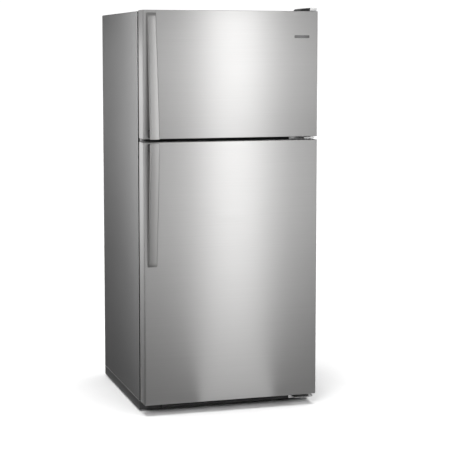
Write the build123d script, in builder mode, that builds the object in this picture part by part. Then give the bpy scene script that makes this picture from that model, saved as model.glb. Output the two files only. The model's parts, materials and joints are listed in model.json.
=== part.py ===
from build123d import *
from math import pi
import os

# A top freezer refrigerator. Millimetres, X to the right as it faces the viewer,
# -Y towards the viewer, +Z up. The origin is on the floor, under the middle.

# ---------------------------------------------------------------- overall sizes
width = 711.2
height = 1597.0            # floor to the top of the hinge cover
depth = 816.0              # back panel to the front of the handles

# ---------------------------------------------------------------- cabinet
hinge_cover_rise = 17.0    # hinge cover above the cabinet's top
floor_clearance = 6.0      # side rails above the floor
rail_height = 36.0
sheet = 1.0                # folded steel of the cabinet and doors
rail_sheet = 1.5           # base frame steel
shell_corner = 5.0
flange_width = 38.0        # steel flange that the gaskets close on
liner_sheet = 2.0
liner_corner = 18.0
step_corner = 12.0

freezer_wall = 62.0
fridge_wall = 45.0
top_wall = 50.0
back_wall = 50.0
mullion_height = 90.0      # between the two compartments
mullion_bar_height = 70.0
floor_wall = 54.0          # insulation under the fridge compartment
liner_lip = 10.0           # liner flange under the fridge opening

machine_depth = 230.0      # compressor space at the back of the base
machine_height = 256.0
machine_wall = 45.0

# ---------------------------------------------------------------- doors
door_thickness = 74.0
gasket_gap = 18.0          # door back to cabinet front
door_overrise = 2.5        # freezer door above the cabinet's top
freezer_door_height = 494.0
door_gap = 13.0
door_floor_gap = 44.5
door_corner = 6.0
cap_height = 20.0
skin_return = 12.0
gasket_inset = 19.0        # gasket from the door's side edges
gasket_end_inset = 12.0    # gasket from the door's top and bottom edges
gasket_width = 18.0
gasket_clearance = 0.4
dyke_reach = 40.0          # raised rim of the door liner
dyke_width = 26.0
dyke_clearance = 10.0      # rim to the compartment's side wall
dyke_end_clearance = 8.0   # rim to the compartment's floor and ceiling
bin_depth = 93.0
bin_height = 88.0
bin_wall = 2.5
bin_clearance = 0.6
bin_corner = 16.0
bin_step = 22.0            # side walls lower beside the rim
lug_width = 8.0
lug_height = 10.0

# ---------------------------------------------------------------- hinges
pivot_inset = 16.0         # pin from the door's side
pivot_back = 44.0          # pin from the door's back
pin_radius = 5.0
pin_clearance = 0.08
pin_engagement = 14.0
hinge_plate = 3.0
hinge_half = 12.0          # arm each side of the pin
hinge_nose = 16.0          # plate in front of the pin
hinge_boss = 3.0           # pin above the top hinge's arm
top_plate_reach = 58.0     # top hinge's plate from the pin towards the middle
top_plate_inset = 6.0      # the same plate behind the cabinet's front
top_plate_depth = 70.0
center_tab_reach = 72.0    # center hinge's tab from the pin towards the middle
center_arm_reach = 34.0
center_arm_root = 24.0     # where the arm narrows, in front of the cabinet
tab_height = 30.0
bottom_tab_reach = 70.0
bottom_hinge_rise = 22.0   # bottom hinge's plate above the rails' lower edge
collar_radius = 9.0
hinge_gap = 1.0            # collar to door
screw_row = 9.0            # screws from their plate's middle or edge
screw_radius = 2.5
screw_length = 12.0
screw_clearance = 0.15
screw_head_radius = 5.0
screw_head_height = 3.5

# ---------------------------------------------------------------- handles
handle_proud = 60.0        # handle front from the door face, at its open end
handle_flush = 10.0        # the same at its other end
handle_bow = 4.5           # how far the bar bends out from a straight line
handle_thickness = 13.0
handle_width = 36.0
handle_length = 482.0
handle_inset = 14.6        # bar from the door's side
handle_end_inset = 1.0     # bar from the edge of the door at the gap
handle_edge = 3.0
post_length = 30.0
post_inset = 4.0
badge_width = 62.0
badge_height = 11.0
badge_thickness = 1.0
badge_side_inset = 36.0
badge_drop = 100.0

# ---------------------------------------------------------------- worked out
half = width / 2
y_back = depth / 2
y_door = -depth / 2 + handle_proud
y_door_back = y_door + door_thickness
y_front = y_door_back + gasket_gap
cabinet_depth = y_back - y_front
cabinet_top = height - hinge_cover_rise
rail_top = floor_clearance + rail_height
deck_top = rail_top + sheet

door_top = cabinet_top + door_overrise
freezer_door_bottom = door_top - freezer_door_height
fridge_door_top = freezer_door_bottom - door_gap
fridge_door_bottom = door_floor_gap
gap_middle = (freezer_door_bottom + fridge_door_top) / 2

freezer_half = half - freezer_wall
freezer_floor = gap_middle + mullion_height / 2
freezer_ceiling = cabinet_top - top_wall
freezer_back = y_back - freezer_wall
fridge_half = half - fridge_wall
fridge_floor = rail_top + floor_wall
fridge_ceiling = gap_middle - mullion_height / 2
fridge_back = y_back - back_wall
machine_top = floor_clearance + machine_height
machine_front = y_back - machine_depth
step_front = machine_front - machine_wall
step_top = machine_top + machine_wall

pivot_x = half - pivot_inset
pivot_y = y_door_back - pivot_back

os.makedirs("parts", exist_ok=True)


def front_plane(y):
    """Upright plane at y, seen from the front: sketch x is X and sketch y is Z."""
    return Plane.XZ.offset(-y)


def side_plane(x):
    """Upright plane at x: sketch x is Y and sketch y is Z."""
    return Plane.YZ.offset(x)


def level(z):
    return Plane.XY.offset(z)


def block(x_low, x_high, y_low, y_high, z_low, z_high, mode=Mode.ADD):
    """A plain rectangular block between two corners, in the part being built."""
    with Locations(((x_low + x_high) / 2, (y_low + y_high) / 2, (z_low + z_high) / 2)):
        Box(x_high - x_low, y_high - y_low, z_high - z_low, mode=mode)


def post(x, y, z_low, z_high, radius, mode=Mode.ADD):
    """An upright cylinder."""
    with Locations((x, y, (z_low + z_high) / 2)):
        Cylinder(radius, z_high - z_low, mode=mode)


def rod_x(x_low, x_high, y, z, radius, mode=Mode.ADD):
    """A cylinder along X."""
    with Locations(((x_low + x_high) / 2, y, z)):
        Cylinder(radius, x_high - x_low, rotation=(0, 90, 0), mode=mode)


def rod_y(x, y_low, y_high, z, radius, mode=Mode.ADD):
    """A cylinder along Y."""
    with Locations((x, (y_low + y_high) / 2, z)):
        Cylinder(radius, y_high - y_low, rotation=(90, 0, 0), mode=mode)


# ================================================================ hinge screws
top_plate_top = cabinet_top + hinge_plate
top_plate_front = y_front + top_plate_inset
top_plate_back = top_plate_front + top_plate_depth
top_plate_left = pivot_x - top_plate_reach
top_screws = [(top_plate_left + hinge_half, top_plate_front + 24),
              (top_plate_left + hinge_half, top_plate_back - 14),
              (pivot_x - 4, top_plate_back - 30)]
center_screws = [(pivot_x - 62, gap_middle), (pivot_x - 30, gap_middle + screw_row),
                 (pivot_x - 30, gap_middle - screw_row)]
bottom_hinge_z = floor_clearance + bottom_hinge_rise
bottom_screws = [(pivot_x - 58, bottom_hinge_z - screw_row),
                 (pivot_x - 18, bottom_hinge_z - screw_row)]


def screw_down(x, y, z):
    """A hex-headed screw whose head sits on a face at z and points down."""
    with BuildSketch(level(z)) as head:
        with Locations((x, y)):
            RegularPolygon(screw_head_radius, 6)
    extrude(head.sketch, amount=screw_head_height)
    post(x, y, z - screw_length, z, screw_radius)


def screw_back(x, z, y):
    """A hex-headed screw whose head sits on a face at y and points to the back."""
    with BuildSketch(front_plane(y)) as head:
        with Locations((x, z)):
            RegularPolygon(screw_head_radius, 6)
    extrude(head.sketch, amount=screw_head_height)
    rod_y(x, y, y + screw_length, z, screw_radius)


with BuildPart() as hinge_screws:
    for x, y in top_screws:
        screw_down(x, y, top_plate_top)
    for x, z in center_screws:
        screw_back(x, z, y_front - hinge_plate)
    for x, z in bottom_screws:
        screw_back(x, z, y_front - hinge_plate)
hinge_screws.part.label = "hinge_screws"
export_step(hinge_screws.part, "parts/hinge_screws.step")


def cut_top_screws():
    for x, y in top_screws:
        post(x, y, cabinet_top - screw_length, cabinet_top + 20,
             screw_radius + screw_clearance, mode=Mode.SUBTRACT)


def cut_front_screws(places):
    for x, z in places:
        rod_y(x, y_front - 20, y_front + screw_length, z,
              screw_radius + screw_clearance, mode=Mode.SUBTRACT)


# ================================================================ cabinet
def shell_outline(inset, z_low):
    """The cabinet seen from the front, drawn in from its outer faces by inset."""
    side = half - inset
    top = cabinet_top - inset
    with BuildSketch(mode=Mode.PRIVATE) as outline:
        with BuildLine():
            Polyline((-side, z_low), (-side, top), (side, top), (side, z_low), close=True)
        make_face()
        if inset < shell_corner:
            fillet(outline.vertices().group_by(Axis.Y)[-1], radius=shell_corner - inset)
    return outline.sketch


with BuildPart() as cabinet_wrapper:
    with BuildSketch(front_plane(y_front)):
        add(shell_outline(0, rail_top))
        add(shell_outline(sheet, rail_top), mode=Mode.SUBTRACT)
    extrude(amount=-cabinet_depth)
    with BuildSketch(front_plane(y_front)):
        add(shell_outline(0, rail_top))
        add(shell_outline(flange_width, rail_top), mode=Mode.SUBTRACT)
    extrude(amount=-sheet)
    cut_top_screws()
    cut_front_screws(center_screws)
cabinet_wrapper.part.label = "cabinet_wrapper"
export_step(cabinet_wrapper.part, "parts/cabinet_wrapper.step")

with BuildPart() as back_panel:
    with BuildSketch(front_plane(y_back)):
        add(shell_outline(sheet, machine_top))
    extrude(amount=sheet)
back_panel.part.label = "back_panel"
export_step(back_panel.part, "parts/back_panel.step")


def freezer_space(grow):
    """The freezer compartment, open at the front, grown by grow on its walls."""
    with BuildPart(mode=Mode.PRIVATE) as space:
        with BuildSketch(front_plane(y_front)):
            with Locations((0, (freezer_floor + freezer_ceiling) / 2)):
                RectangleRounded(2 * (freezer_half + grow),
                                 freezer_ceiling - freezer_floor + 2 * grow,
                                 liner_corner + grow)
        extrude(amount=-(freezer_back + grow - y_front))
        back_edges = space.faces().sort_by(Axis.Y)[-1].edges()
        fillet(back_edges, radius=step_corner + grow)
    return space.part


def fridge_space(grow):
    """The fridge compartment, with the step over the machine space, grown by grow."""
    low = fridge_floor - grow
    high = fridge_ceiling + grow
    back = fridge_back + grow
    with BuildPart(mode=Mode.PRIVATE) as space:
        with BuildSketch(front_plane(y_front)):
            with Locations((0, (low + high) / 2)):
                RectangleRounded(2 * (fridge_half + grow), high - low, liner_corner + grow)
        extrude(amount=-(back - y_front))
        back_edges = space.faces().sort_by(Axis.Y)[-1].edges()
        fillet(back_edges, radius=step_corner + grow)
        with BuildSketch(side_plane(-half)):
            with BuildLine():
                Polyline((step_front + grow, low - 50), (step_front + grow, step_top - grow),
                         (back + 50, step_top - grow), (back + 50, low - 50), close=True)
            make_face()
        extrude(amount=width, mode=Mode.SUBTRACT)
    return space.part


def front_ring(half_out, low_out, high_out, half_in, low_in, high_in, corner):
    """A flat ring in the cabinet's front plane, liner_sheet thick."""
    with BuildSketch(front_plane(y_front)) as ring:
        with Locations((0, (low_out + high_out) / 2)):
            Rectangle(2 * half_out, high_out - low_out)
        with Locations((0, (low_in + high_in) / 2)):
            RectangleRounded(2 * half_in, high_in - low_in, corner, mode=Mode.SUBTRACT)
    extrude(ring.sketch, amount=-liner_sheet)


bar_low = gap_middle - mullion_bar_height / 2
bar_high = gap_middle + mullion_bar_height / 2
flange_half = half - flange_width
front_rail_top = fridge_floor - liner_lip

ledge_width = 10.0
ledge_height = 6.0
shelf_front = y_front + bin_depth + 12.0
shelf_back_gap = 8.0
evaporator_space = 70.0
evaporator_cover_sheet = 2.0
evaporator_front = freezer_back - evaporator_space

freezer_shelf_z = (freezer_floor + freezer_ceiling) / 2 - 12.0
crisper_height = 205.0
crisper_floor_gap = 3.0
crisper_top_gap = 8.0
shelf_frame_height = 12.0
crisper_shelf_z = max(fridge_floor + crisper_floor_gap + crisper_height + crisper_top_gap,
                      step_top + 8.0)
shelf_room = (fridge_ceiling - crisper_shelf_z) / 3
lower_shelf_z = crisper_shelf_z + shelf_room
upper_shelf_z = crisper_shelf_z + 2 * shelf_room


def ledges(side, z, y_low, y_high):
    """Moulded ledges on both side walls, whose tops are at z."""
    for x_low, x_high in ((-side - 1, -side + ledge_width), (side - ledge_width, side + 1)):
        block(x_low, x_high, y_low, y_high, z - ledge_height, z)


with BuildPart() as freezer_liner:
    add(freezer_space(liner_sheet))
    add(freezer_space(0), mode=Mode.SUBTRACT)
    front_ring(flange_half, bar_high, cabinet_top - flange_width,
               freezer_half, freezer_floor, freezer_ceiling, liner_corner)
    ledges(freezer_half, freezer_shelf_z, shelf_front, evaporator_front - 10)
freezer_liner.part.label = "freezer_liner"
export_step(freezer_liner.part, "parts/freezer_liner.step")

# the light switch sits in a boss on the ceiling, beside the dairy lid
switch_width = 22.0
switch_depth = 26.0
switch_drop = 38.0
switch_x = fridge_half - dyke_clearance - dyke_width / 2
switch_face_gap = 12.0
plunger_radius = 4.0
plunger_clearance = 0.1
dyke_back = y_door_back + dyke_reach
switch_front = dyke_back + switch_face_gap
plunger_z = fridge_ceiling - 28.0
plunger_bore = 22.0

with BuildPart() as fridge_liner:
    add(fridge_space(liner_sheet))
    add(fridge_space(0), mode=Mode.SUBTRACT)
    front_ring(flange_half, front_rail_top, bar_low,
               fridge_half, fridge_floor, fridge_ceiling, liner_corner)
    for shelf_z in (upper_shelf_z, lower_shelf_z):
        ledges(fridge_half, shelf_z, shelf_front, fridge_back - 60)
    ledges(fridge_half, crisper_shelf_z, shelf_front, fridge_back - 60)
    block(switch_x - switch_width / 2, switch_x + switch_width / 2, switch_front,
          switch_front + switch_depth, fridge_ceiling - switch_drop, fridge_ceiling + 1)
    rod_y(switch_x, switch_front - 1, switch_front + plunger_bore, plunger_z,
          plunger_radius + plunger_clearance, mode=Mode.SUBTRACT)
fridge_liner.part.label = "fridge_liner"
export_step(fridge_liner.part, "parts/fridge_liner.step")

with BuildPart() as mullion_bar:
    block(-flange_half, flange_half, y_front, y_front + rail_sheet, bar_low, bar_high)
    cut_front_screws(center_screws)
mullion_bar.part.label = "mullion_bar"
export_step(mullion_bar.part, "parts/mullion_bar.step")

with BuildPart() as bottom_deck:
    with BuildSketch(side_plane(-half + sheet)):
        with BuildLine():
            Polyline((y_front + liner_sheet, rail_top), (machine_front, rail_top),
                     (machine_front, machine_top - sheet), (y_back - sheet, machine_top - sheet),
                     (y_back - sheet, machine_top), (machine_front - sheet, machine_top),
                     (machine_front - sheet, deck_top), (y_front + liner_sheet, deck_top),
                     close=True)
        make_face()
    extrude(amount=width - 2 * sheet)
bottom_deck.part.label = "bottom_deck"
export_step(bottom_deck.part, "parts/bottom_deck.step")

with BuildPart() as cabinet_foam:
    with BuildSketch(front_plane(y_front + liner_sheet)):
        add(shell_outline(sheet, deck_top))
    extrude(amount=-(cabinet_depth - liner_sheet - sheet))
    block(-half, half, machine_front - sheet, y_back, 0, machine_top, mode=Mode.SUBTRACT)
    add(freezer_space(liner_sheet), mode=Mode.SUBTRACT)
    add(fridge_space(liner_sheet), mode=Mode.SUBTRACT)
    cut_top_screws()
    cut_front_screws(center_screws)
cabinet_foam.part.label = "cabinet_foam"
export_step(cabinet_foam.part, "parts/cabinet_foam.step")

# ================================================================ base
channel_width = 39.0       # side rails are channels, open below
channel_inner = half - channel_width
leg_x = half - channel_width / 2
leg_y = y_front + 24.0
leg_pad_radius = 15.0
leg_pad_height = 8.0
leg_stud_radius = 5.0
leg_stud_top = 38.0
nut_plate_low = 16.0
nut_plate_high = 20.0
roller_radius = 18.0
roller_width = 18.0
roller_y = y_back - 36.0
axle_radius = 4.0
running_clearance = 0.08
tray_top = 30.0
tray_front = machine_front + 8.0
tray_back = y_back - 6.0
cover_sheet = 2.0


def side_rail(side):
    """A side channel, with its nut plate for the leg and its riveted roller axle."""
    outer = side * half
    inner = side * channel_inner
    web = side * rail_sheet
    low_x, high_x = sorted((outer, inner))
    block(low_x, high_x, y_front, y_back - cover_sheet, rail_top - rail_sheet, rail_top)
    for face, back in ((outer, outer - web), (inner, inner + web)):
        web_low, web_high = sorted((face, back))
        block(web_low, web_high, y_front, y_back - cover_sheet, floor_clearance, rail_top)
    block(low_x, high_x, leg_y - 18, leg_y + 18, nut_plate_low, nut_plate_high)
    rod_x(low_x + 0.5, high_x - 0.5, roller_y, roller_radius, axle_radius)
    post(side * leg_x, leg_y, 0, rail_top - 2, leg_stud_radius + running_clearance,
         mode=Mode.SUBTRACT)


with BuildPart() as base_frame:
    side_rail(-1)
    side_rail(1)
    block(-channel_inner - rail_sheet, channel_inner + rail_sheet, tray_front, tray_back,
          tray_top - rail_sheet, tray_top)
    block(-channel_inner - rail_sheet, channel_inner + rail_sheet, tray_front,
          tray_front + rail_sheet, floor_clearance + 6, tray_top)
    # front rail: full width below the cabinet's flanges, between them above
    block(-half, half, y_front, y_front + rail_sheet, floor_clearance, rail_top)
    block(-flange_half, flange_half, y_front, y_front + rail_sheet, rail_top, front_rail_top)
    cut_front_screws(bottom_screws)
base_frame.part.label = "base_frame"
export_step(base_frame.part, "parts/base_frame.step")

for side, name in ((-1, "leg_left"), (1, "leg_right")):
    with BuildPart() as leg:
        post(side * leg_x, leg_y, 0, leg_pad_height, leg_pad_radius)
        chamfer(leg.faces().sort_by(Axis.Z)[-1].edges(), length=2.5)
        post(side * leg_x, leg_y, leg_pad_height - 1, leg_stud_top, leg_stud_radius)
        chamfer(leg.faces().sort_by(Axis.Z)[-1].edges(), length=1)
    leg.part.label = name
    export_step(leg.part, f"parts/{name}.step")

for side, name in ((-1, "roller_left"), (1, "roller_right")):
    middle = side * leg_x
    with BuildPart() as roller:
        rod_x(middle - roller_width / 2, middle + roller_width / 2, roller_y, roller_radius,
              roller_radius)
        rims = roller.edges().filter_by(GeomType.CIRCLE)
        fillet(rims, radius=2)
        rod_x(middle - roller_width / 2 - 3, middle + roller_width / 2 + 3, roller_y,
              roller_radius, axle_radius + 4)
        rod_x(middle - half, middle + half, roller_y, roller_radius,
              axle_radius + running_clearance, mode=Mode.SUBTRACT)
    roller.part.label = name
    export_step(roller.part, f"parts/{name}.step")

# the grille under the doors stops short of the left leg and of the bottom hinge
grille_left = -half + 88.0
grille_right = pivot_x - bottom_tab_reach - 8.0
grille_thickness = 12.0
grille_low = floor_clearance + 4.0
grille_high = rail_top - 1.0
grille_wall = 2.5
grille_slot_pitch = 22.0
grille_slot_width = 14.0
grille_slot_height = 4.0

with BuildPart() as toe_grille:
    block(grille_left, grille_right, y_front - grille_thickness, y_front, grille_low, grille_high)
    front_edges = toe_grille.faces().sort_by(Axis.Y)[0].edges()
    fillet(front_edges, radius=3)
    block(grille_left + grille_wall, grille_right - grille_wall,
          y_front - grille_thickness + grille_wall, y_front,
          grille_low + grille_wall, grille_high - grille_wall, mode=Mode.SUBTRACT)
    slots = int((grille_right - grille_left - 30) / grille_slot_pitch)
    with BuildSketch(front_plane(y_front - grille_thickness)):
        with Locations(((grille_left + grille_right) / 2, (grille_low + grille_high) / 2)):
            with GridLocations(grille_slot_pitch, 3 * grille_slot_height - 4, slots, 2):
                SlotOverall(grille_slot_width, grille_slot_height)
    extrude(amount=-grille_wall, mode=Mode.SUBTRACT)
toe_grille.part.label = "toe_grille"
export_step(toe_grille.part, "parts/toe_grille.step")

# ================================================================ hinges
arm_low = door_top + hinge_gap + rail_sheet
arm_high = arm_low + hinge_plate
pin_high = arm_high + hinge_boss

with BuildPart() as top_hinge:
    block(top_plate_left, pivot_x + hinge_half, top_plate_front, top_plate_back, cabinet_top,
          top_plate_top)
    block(pivot_x - hinge_half, pivot_x + hinge_half, top_plate_front,
          top_plate_front + hinge_plate, cabinet_top, arm_high)
    block(pivot_x - hinge_half, pivot_x + hinge_half, pivot_y, top_plate_front + 2, arm_low,
          arm_high)
    post(pivot_x, pivot_y, arm_low, arm_high, hinge_half)
    post(pivot_x, pivot_y, door_top + hinge_gap, pin_high, collar_radius)
    post(pivot_x, pivot_y, door_top - pin_engagement, pin_high, pin_radius)
    cut_top_screws()
top_hinge.part.label = "top_hinge"
export_step(top_hinge.part, "parts/top_hinge.step")

cover_wall = 1.8
cover_play = 4.0           # cover to the hinge plate it hides
cover_left = top_plate_left - cover_play
cover_front_left = pivot_x - 36.0
cover_right = half - 1.0
cover_front = pivot_y - hinge_half - 6.0
cover_rear = top_plate_back + 16.0
cover_low = door_top + 1.0
cover_slope = 8.0


def cover_form(inset):
    """The hinge cover's form, drawn in by inset; its left flank slopes."""
    top = height - inset
    with BuildPart(mode=Mode.PRIVATE) as form:
        with BuildSketch(level(cabinet_top)):
            with BuildLine():
                Polyline((cover_front_left + inset, cover_front + inset),
                         (cover_right - inset, cover_front + inset),
                         (cover_right - inset, cover_rear - inset),
                         (cover_left + inset, cover_rear - inset),
                         (cover_left + inset, y_front + cover_play + inset),
                         (cover_front_left + inset, y_front - 22 + inset), close=True)
            make_face()
        extrude(amount=top - cabinet_top)
        top_edges = form.faces().sort_by(Axis.Z)[-1].edges()
        chamfer(top_edges.filter_by_position(Axis.Y, -depth, cover_rear - inset - 1),
                length=cover_slope, length2=cover_slope - 1)
    return form.part


with BuildPart() as top_hinge_cover:
    add(cover_form(0))
    add(cover_form(cover_wall), mode=Mode.SUBTRACT)
    block(-width, width, -depth, y_front - 1, 0, cover_low, mode=Mode.SUBTRACT)
top_hinge_cover.part.label = "top_hinge_cover"
export_step(top_hinge_cover.part, "parts/top_hinge_cover.step")

center_plate_low = gap_middle - hinge_plate / 2
tab_left = pivot_x - center_tab_reach
tab_right = pivot_x + hinge_half
arm_left = pivot_x - center_arm_reach

with BuildPart() as center_hinge:
    block(tab_left, tab_right, y_front - hinge_plate, y_front, gap_middle - tab_height / 2,
          gap_middle + tab_height / 2)
    with BuildSketch(level(center_plate_low)):
        with BuildLine():
            Polyline((arm_left - hinge_half, y_front),
                     (arm_left - hinge_half, y_front - center_arm_root),
                     (arm_left, pivot_y), (arm_left, pivot_y - hinge_nose),
                     (pivot_x + 4, pivot_y - hinge_nose),
                     (tab_right, pivot_y - hinge_nose / 2), (tab_right, y_front), close=True)
        make_face()
    extrude(amount=hinge_plate)
    post(pivot_x, pivot_y, fridge_door_top + hinge_gap, freezer_door_bottom - hinge_gap,
         collar_radius)
    post(pivot_x, pivot_y, fridge_door_top - pin_engagement,
         freezer_door_bottom + pin_engagement, pin_radius)
    cut_front_screws(center_screws)
center_hinge.part.label = "center_hinge"
export_step(center_hinge.part, "parts/center_hinge.step")

bottom_left = pivot_x - bottom_tab_reach

with BuildPart() as bottom_hinge:
    block(bottom_left, tab_right, y_front - hinge_plate, y_front, floor_clearance + 4,
          bottom_hinge_z + hinge_plate)
    with BuildSketch(level(bottom_hinge_z)):
        with BuildLine():
            Polyline((bottom_left, y_front), (bottom_left, pivot_y - hinge_nose),
                     (pivot_x - 4, pivot_y - hinge_nose), (tab_right, pivot_y - 4),
                     (tab_right, y_front), close=True)
        make_face()
    extrude(amount=hinge_plate)
    post(pivot_x, pivot_y, bottom_hinge_z, fridge_door_bottom - hinge_gap, collar_radius)
    post(pivot_x, pivot_y, bottom_hinge_z, fridge_door_bottom + pin_engagement, pin_radius)
    cut_front_screws(bottom_screws)
bottom_hinge.part.label = "bottom_hinge"
export_step(bottom_hinge.part, "parts/bottom_hinge.step")

# ================================================================ freezer inside
evaporator_edge = 0.6
evaporator_fan_z = freezer_ceiling - 72.0
evaporator_fan_radius = 46.0
evaporator_fan_y = evaporator_front + 26.0
vent_pitch = 16.0
vent_width = 9.0
vent_height = 30.0
coil_tube = 4.0
coil_rise = 26.0
coil_half = 210.0
coil_y = freezer_back - 30.0
motor_shaft_radius = 3.0


def serpentine(run_half, rise, runs):
    """Line and arc path in the XZ plane: level runs joined by half turns, going up."""
    with BuildLine(mode=Mode.PRIVATE) as path:
        for run in range(runs):
            side = 1 if run % 2 == 0 else -1
            z = run * rise
            Line((-side * run_half, 0, z), (side * run_half, 0, z))
            if run < runs - 1:
                ThreePointArc((side * run_half, 0, z),
                              (side * (run_half + rise / 2), 0, z + rise / 2),
                              (side * run_half, 0, z + rise))
    return path.line


def tube_along(path, radius):
    """A round tube swept along a path that starts along +X."""
    start = path @ 0
    with BuildPart(mode=Mode.PRIVATE) as tube:
        with BuildSketch(Plane(origin=start, x_dir=(0, 1, 0), z_dir=path % 0)):
            Circle(radius)
        sweep(path=path)
    return tube.part


def fan_blades(count, hub_radius, tip_radius, hub_depth, pitch, blade=1.6):
    """A fan about Z: a hub with a bore, and flat blades set at a pitch."""
    span = tip_radius - hub_radius + 2
    chord = 2 * pi * tip_radius / count * 0.62
    with BuildPart(mode=Mode.PRIVATE) as fan:
        Cylinder(hub_radius, hub_depth)
        with PolarLocations(hub_radius - 2 + span / 2, count):
            Box(span, chord, blade, rotation=(pitch, 0, 0))
        Cylinder(motor_shaft_radius + running_clearance, hub_depth * 3, mode=Mode.SUBTRACT)
    return fan.part


with BuildPart() as evaporator_cover:
    with BuildSketch(front_plane(evaporator_front)):
        with Locations((0, (freezer_floor + freezer_ceiling) / 2)):
            RectangleRounded(2 * (freezer_half - evaporator_edge),
                             freezer_ceiling - freezer_floor - 2 * evaporator_edge,
                             liner_corner)
    extrude(amount=-evaporator_cover_sheet)
    with BuildSketch(front_plane(evaporator_front)):
        with Locations((0, freezer_floor + 34)):
            with GridLocations(vent_pitch, 0, 24, 1):
                SlotOverall(vent_height, vent_width, rotation=90)
        with Locations((0, evaporator_fan_z)):
            for ring in (14, 26, 38):
                with PolarLocations(ring, int(ring / 2.6)):
                    Circle(2.6)
    extrude(amount=-evaporator_cover_sheet, mode=Mode.SUBTRACT)
evaporator_cover.part.label = "evaporator_cover"
export_step(evaporator_cover.part, "parts/evaporator_cover.step")

coil_runs = int((evaporator_fan_z - evaporator_fan_radius - 20 - freezer_floor - 20) / coil_rise)

with BuildPart() as evaporator_coil:
    with Locations((0, coil_y, freezer_floor + 22)):
        add(tube_along(serpentine(coil_half, coil_rise, coil_runs), coil_tube))
evaporator_coil.part.label = "evaporator_coil"
export_step(evaporator_coil.part, "parts/evaporator_coil.step")

with BuildPart() as evaporator_fan_motor:
    rod_y(0, evaporator_fan_y + 8, freezer_back - 4, evaporator_fan_z, 20)
    rod_y(0, evaporator_fan_y - 7, evaporator_fan_y + 9, evaporator_fan_z, motor_shaft_radius)
    # a bracket carries the motor on the compartment's back wall
    block(-60, 60, freezer_back - 4, freezer_back, evaporator_fan_z - 14, evaporator_fan_z + 14)
evaporator_fan_motor.part.label = "evaporator_fan_motor"
export_step(evaporator_fan_motor.part, "parts/evaporator_fan_motor.step")

with BuildPart() as evaporator_fan_blade:
    with Locations(Location((0, evaporator_fan_y, evaporator_fan_z), (90, 0, 0))):
        add(fan_blades(5, 15, evaporator_fan_radius, 14, 24))
evaporator_fan_blade.part.label = "evaporator_fan_blade"
export_step(evaporator_fan_blade.part, "parts/evaporator_fan_blade.step")

wire_edge = 3.0
wire_middle = 2.4          # cross rod under the wires, thinner than the side rods that it ends in
wire_rod = 1.6
wire_pitch = 26.0
wire_overrun = 0.8         # wires past the middle of the end rods
shelf_side_gap = 2.5
wire_shelf_half = freezer_half - shelf_side_gap - wire_edge
wire_shelf_back = evaporator_front - 14.0
wire_z = freezer_shelf_z + wire_edge

with BuildPart() as freezer_shelf:
    for x in (-wire_shelf_half, wire_shelf_half):
        rod_y(x, shelf_front, wire_shelf_back, wire_z, wire_edge)
    for y in (shelf_front, wire_shelf_back):
        rod_x(-wire_shelf_half, wire_shelf_half, y, wire_z, wire_edge)
    rod_x(-wire_shelf_half, wire_shelf_half, (shelf_front + wire_shelf_back) / 2, wire_z,
          wire_middle)
    wires = int(2 * wire_shelf_half / wire_pitch)
    for wire in range(1, wires):
        x = -wire_shelf_half + wire * 2 * wire_shelf_half / wires
        rod_y(x, shelf_front - wire_overrun, wire_shelf_back + wire_overrun,
              wire_z + wire_edge - 0.4, wire_rod)
    for x in (-wire_shelf_half, wire_shelf_half):
        for y in (shelf_front, wire_shelf_back):
            with Locations((x, y, wire_z)):
                Sphere(wire_edge)
freezer_shelf.part.label = "freezer_shelf"
export_step(freezer_shelf.part, "parts/freezer_shelf.step")

# ================================================================ fridge shelves
shelf_half = fridge_half - shelf_side_gap
shelf_back = fridge_back - shelf_back_gap
frame_side = 20.0
frame_front = 26.0
frame_corner = 16.0
glass_thickness = 4.0
glass_seat = 8.0           # frame lip under the glass
glass_gap = 0.3


def shelf_frame(z, back):
    """Moulded shelf frame with a stepped opening for its pane; its underside is at z."""
    middle = (shelf_front + back) / 2
    with BuildPart(mode=Mode.PRIVATE) as frame:
        with BuildSketch(level(z)):
            with Locations((0, middle)):
                RectangleRounded(2 * shelf_half, back - shelf_front, frame_corner)
        extrude(amount=shelf_frame_height)
        fillet(frame.faces().sort_by(Axis.Y)[0].edges(), radius=3)
        block(-shelf_half + frame_side - glass_seat, shelf_half - frame_side + glass_seat,
              shelf_front + frame_front - glass_seat, back - frame_side + glass_seat,
              z + shelf_frame_height - glass_thickness - glass_gap, z + 50, mode=Mode.SUBTRACT)
        block(-shelf_half + frame_side, shelf_half - frame_side, shelf_front + frame_front,
              back - frame_side, z - 1, z + 50, mode=Mode.SUBTRACT)
    return frame.part


def shelf_glass(z, back):
    """The pane that lies in a shelf frame."""
    top = z + shelf_frame_height - glass_gap
    with BuildPart(mode=Mode.PRIVATE) as pane:
        block(-shelf_half + frame_side - glass_seat + glass_gap,
              shelf_half - frame_side + glass_seat - glass_gap,
              shelf_front + frame_front - glass_seat + glass_gap,
              back - frame_side + glass_seat - glass_gap, top - glass_thickness, top)
    return pane.part


for name, z in (("upper_shelf", upper_shelf_z), ("lower_shelf", lower_shelf_z)):
    with BuildPart() as frame:
        add(shelf_frame(z, shelf_back))
    frame.part.label = f"{name}_frame"
    export_step(frame.part, f"parts/{name}_frame.step")
    with BuildPart() as glass:
        add(shelf_glass(z, shelf_back))
    glass.part.label = f"{name}_glass"
    export_step(glass.part, f"parts/{name}_glass.step")

# the lowest shelf closes the crispers and carries the post between them
crisper_gap = 3.0
crisper_side_room = 36.0   # the open door's edge passes between a drawer and the wall
crisper_middle = 5.0
guide_thickness = 3.0
crisper_wall = 2.5
crisper_front = shelf_front + 10.0
crisper_back = step_front - 8.0
crisper_low = fridge_floor + crisper_floor_gap
crisper_lip = 10.0
crisper_lip_inset = 24.0
crisper_lip_height = 9.0
crisper_corner = 14.0

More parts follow.
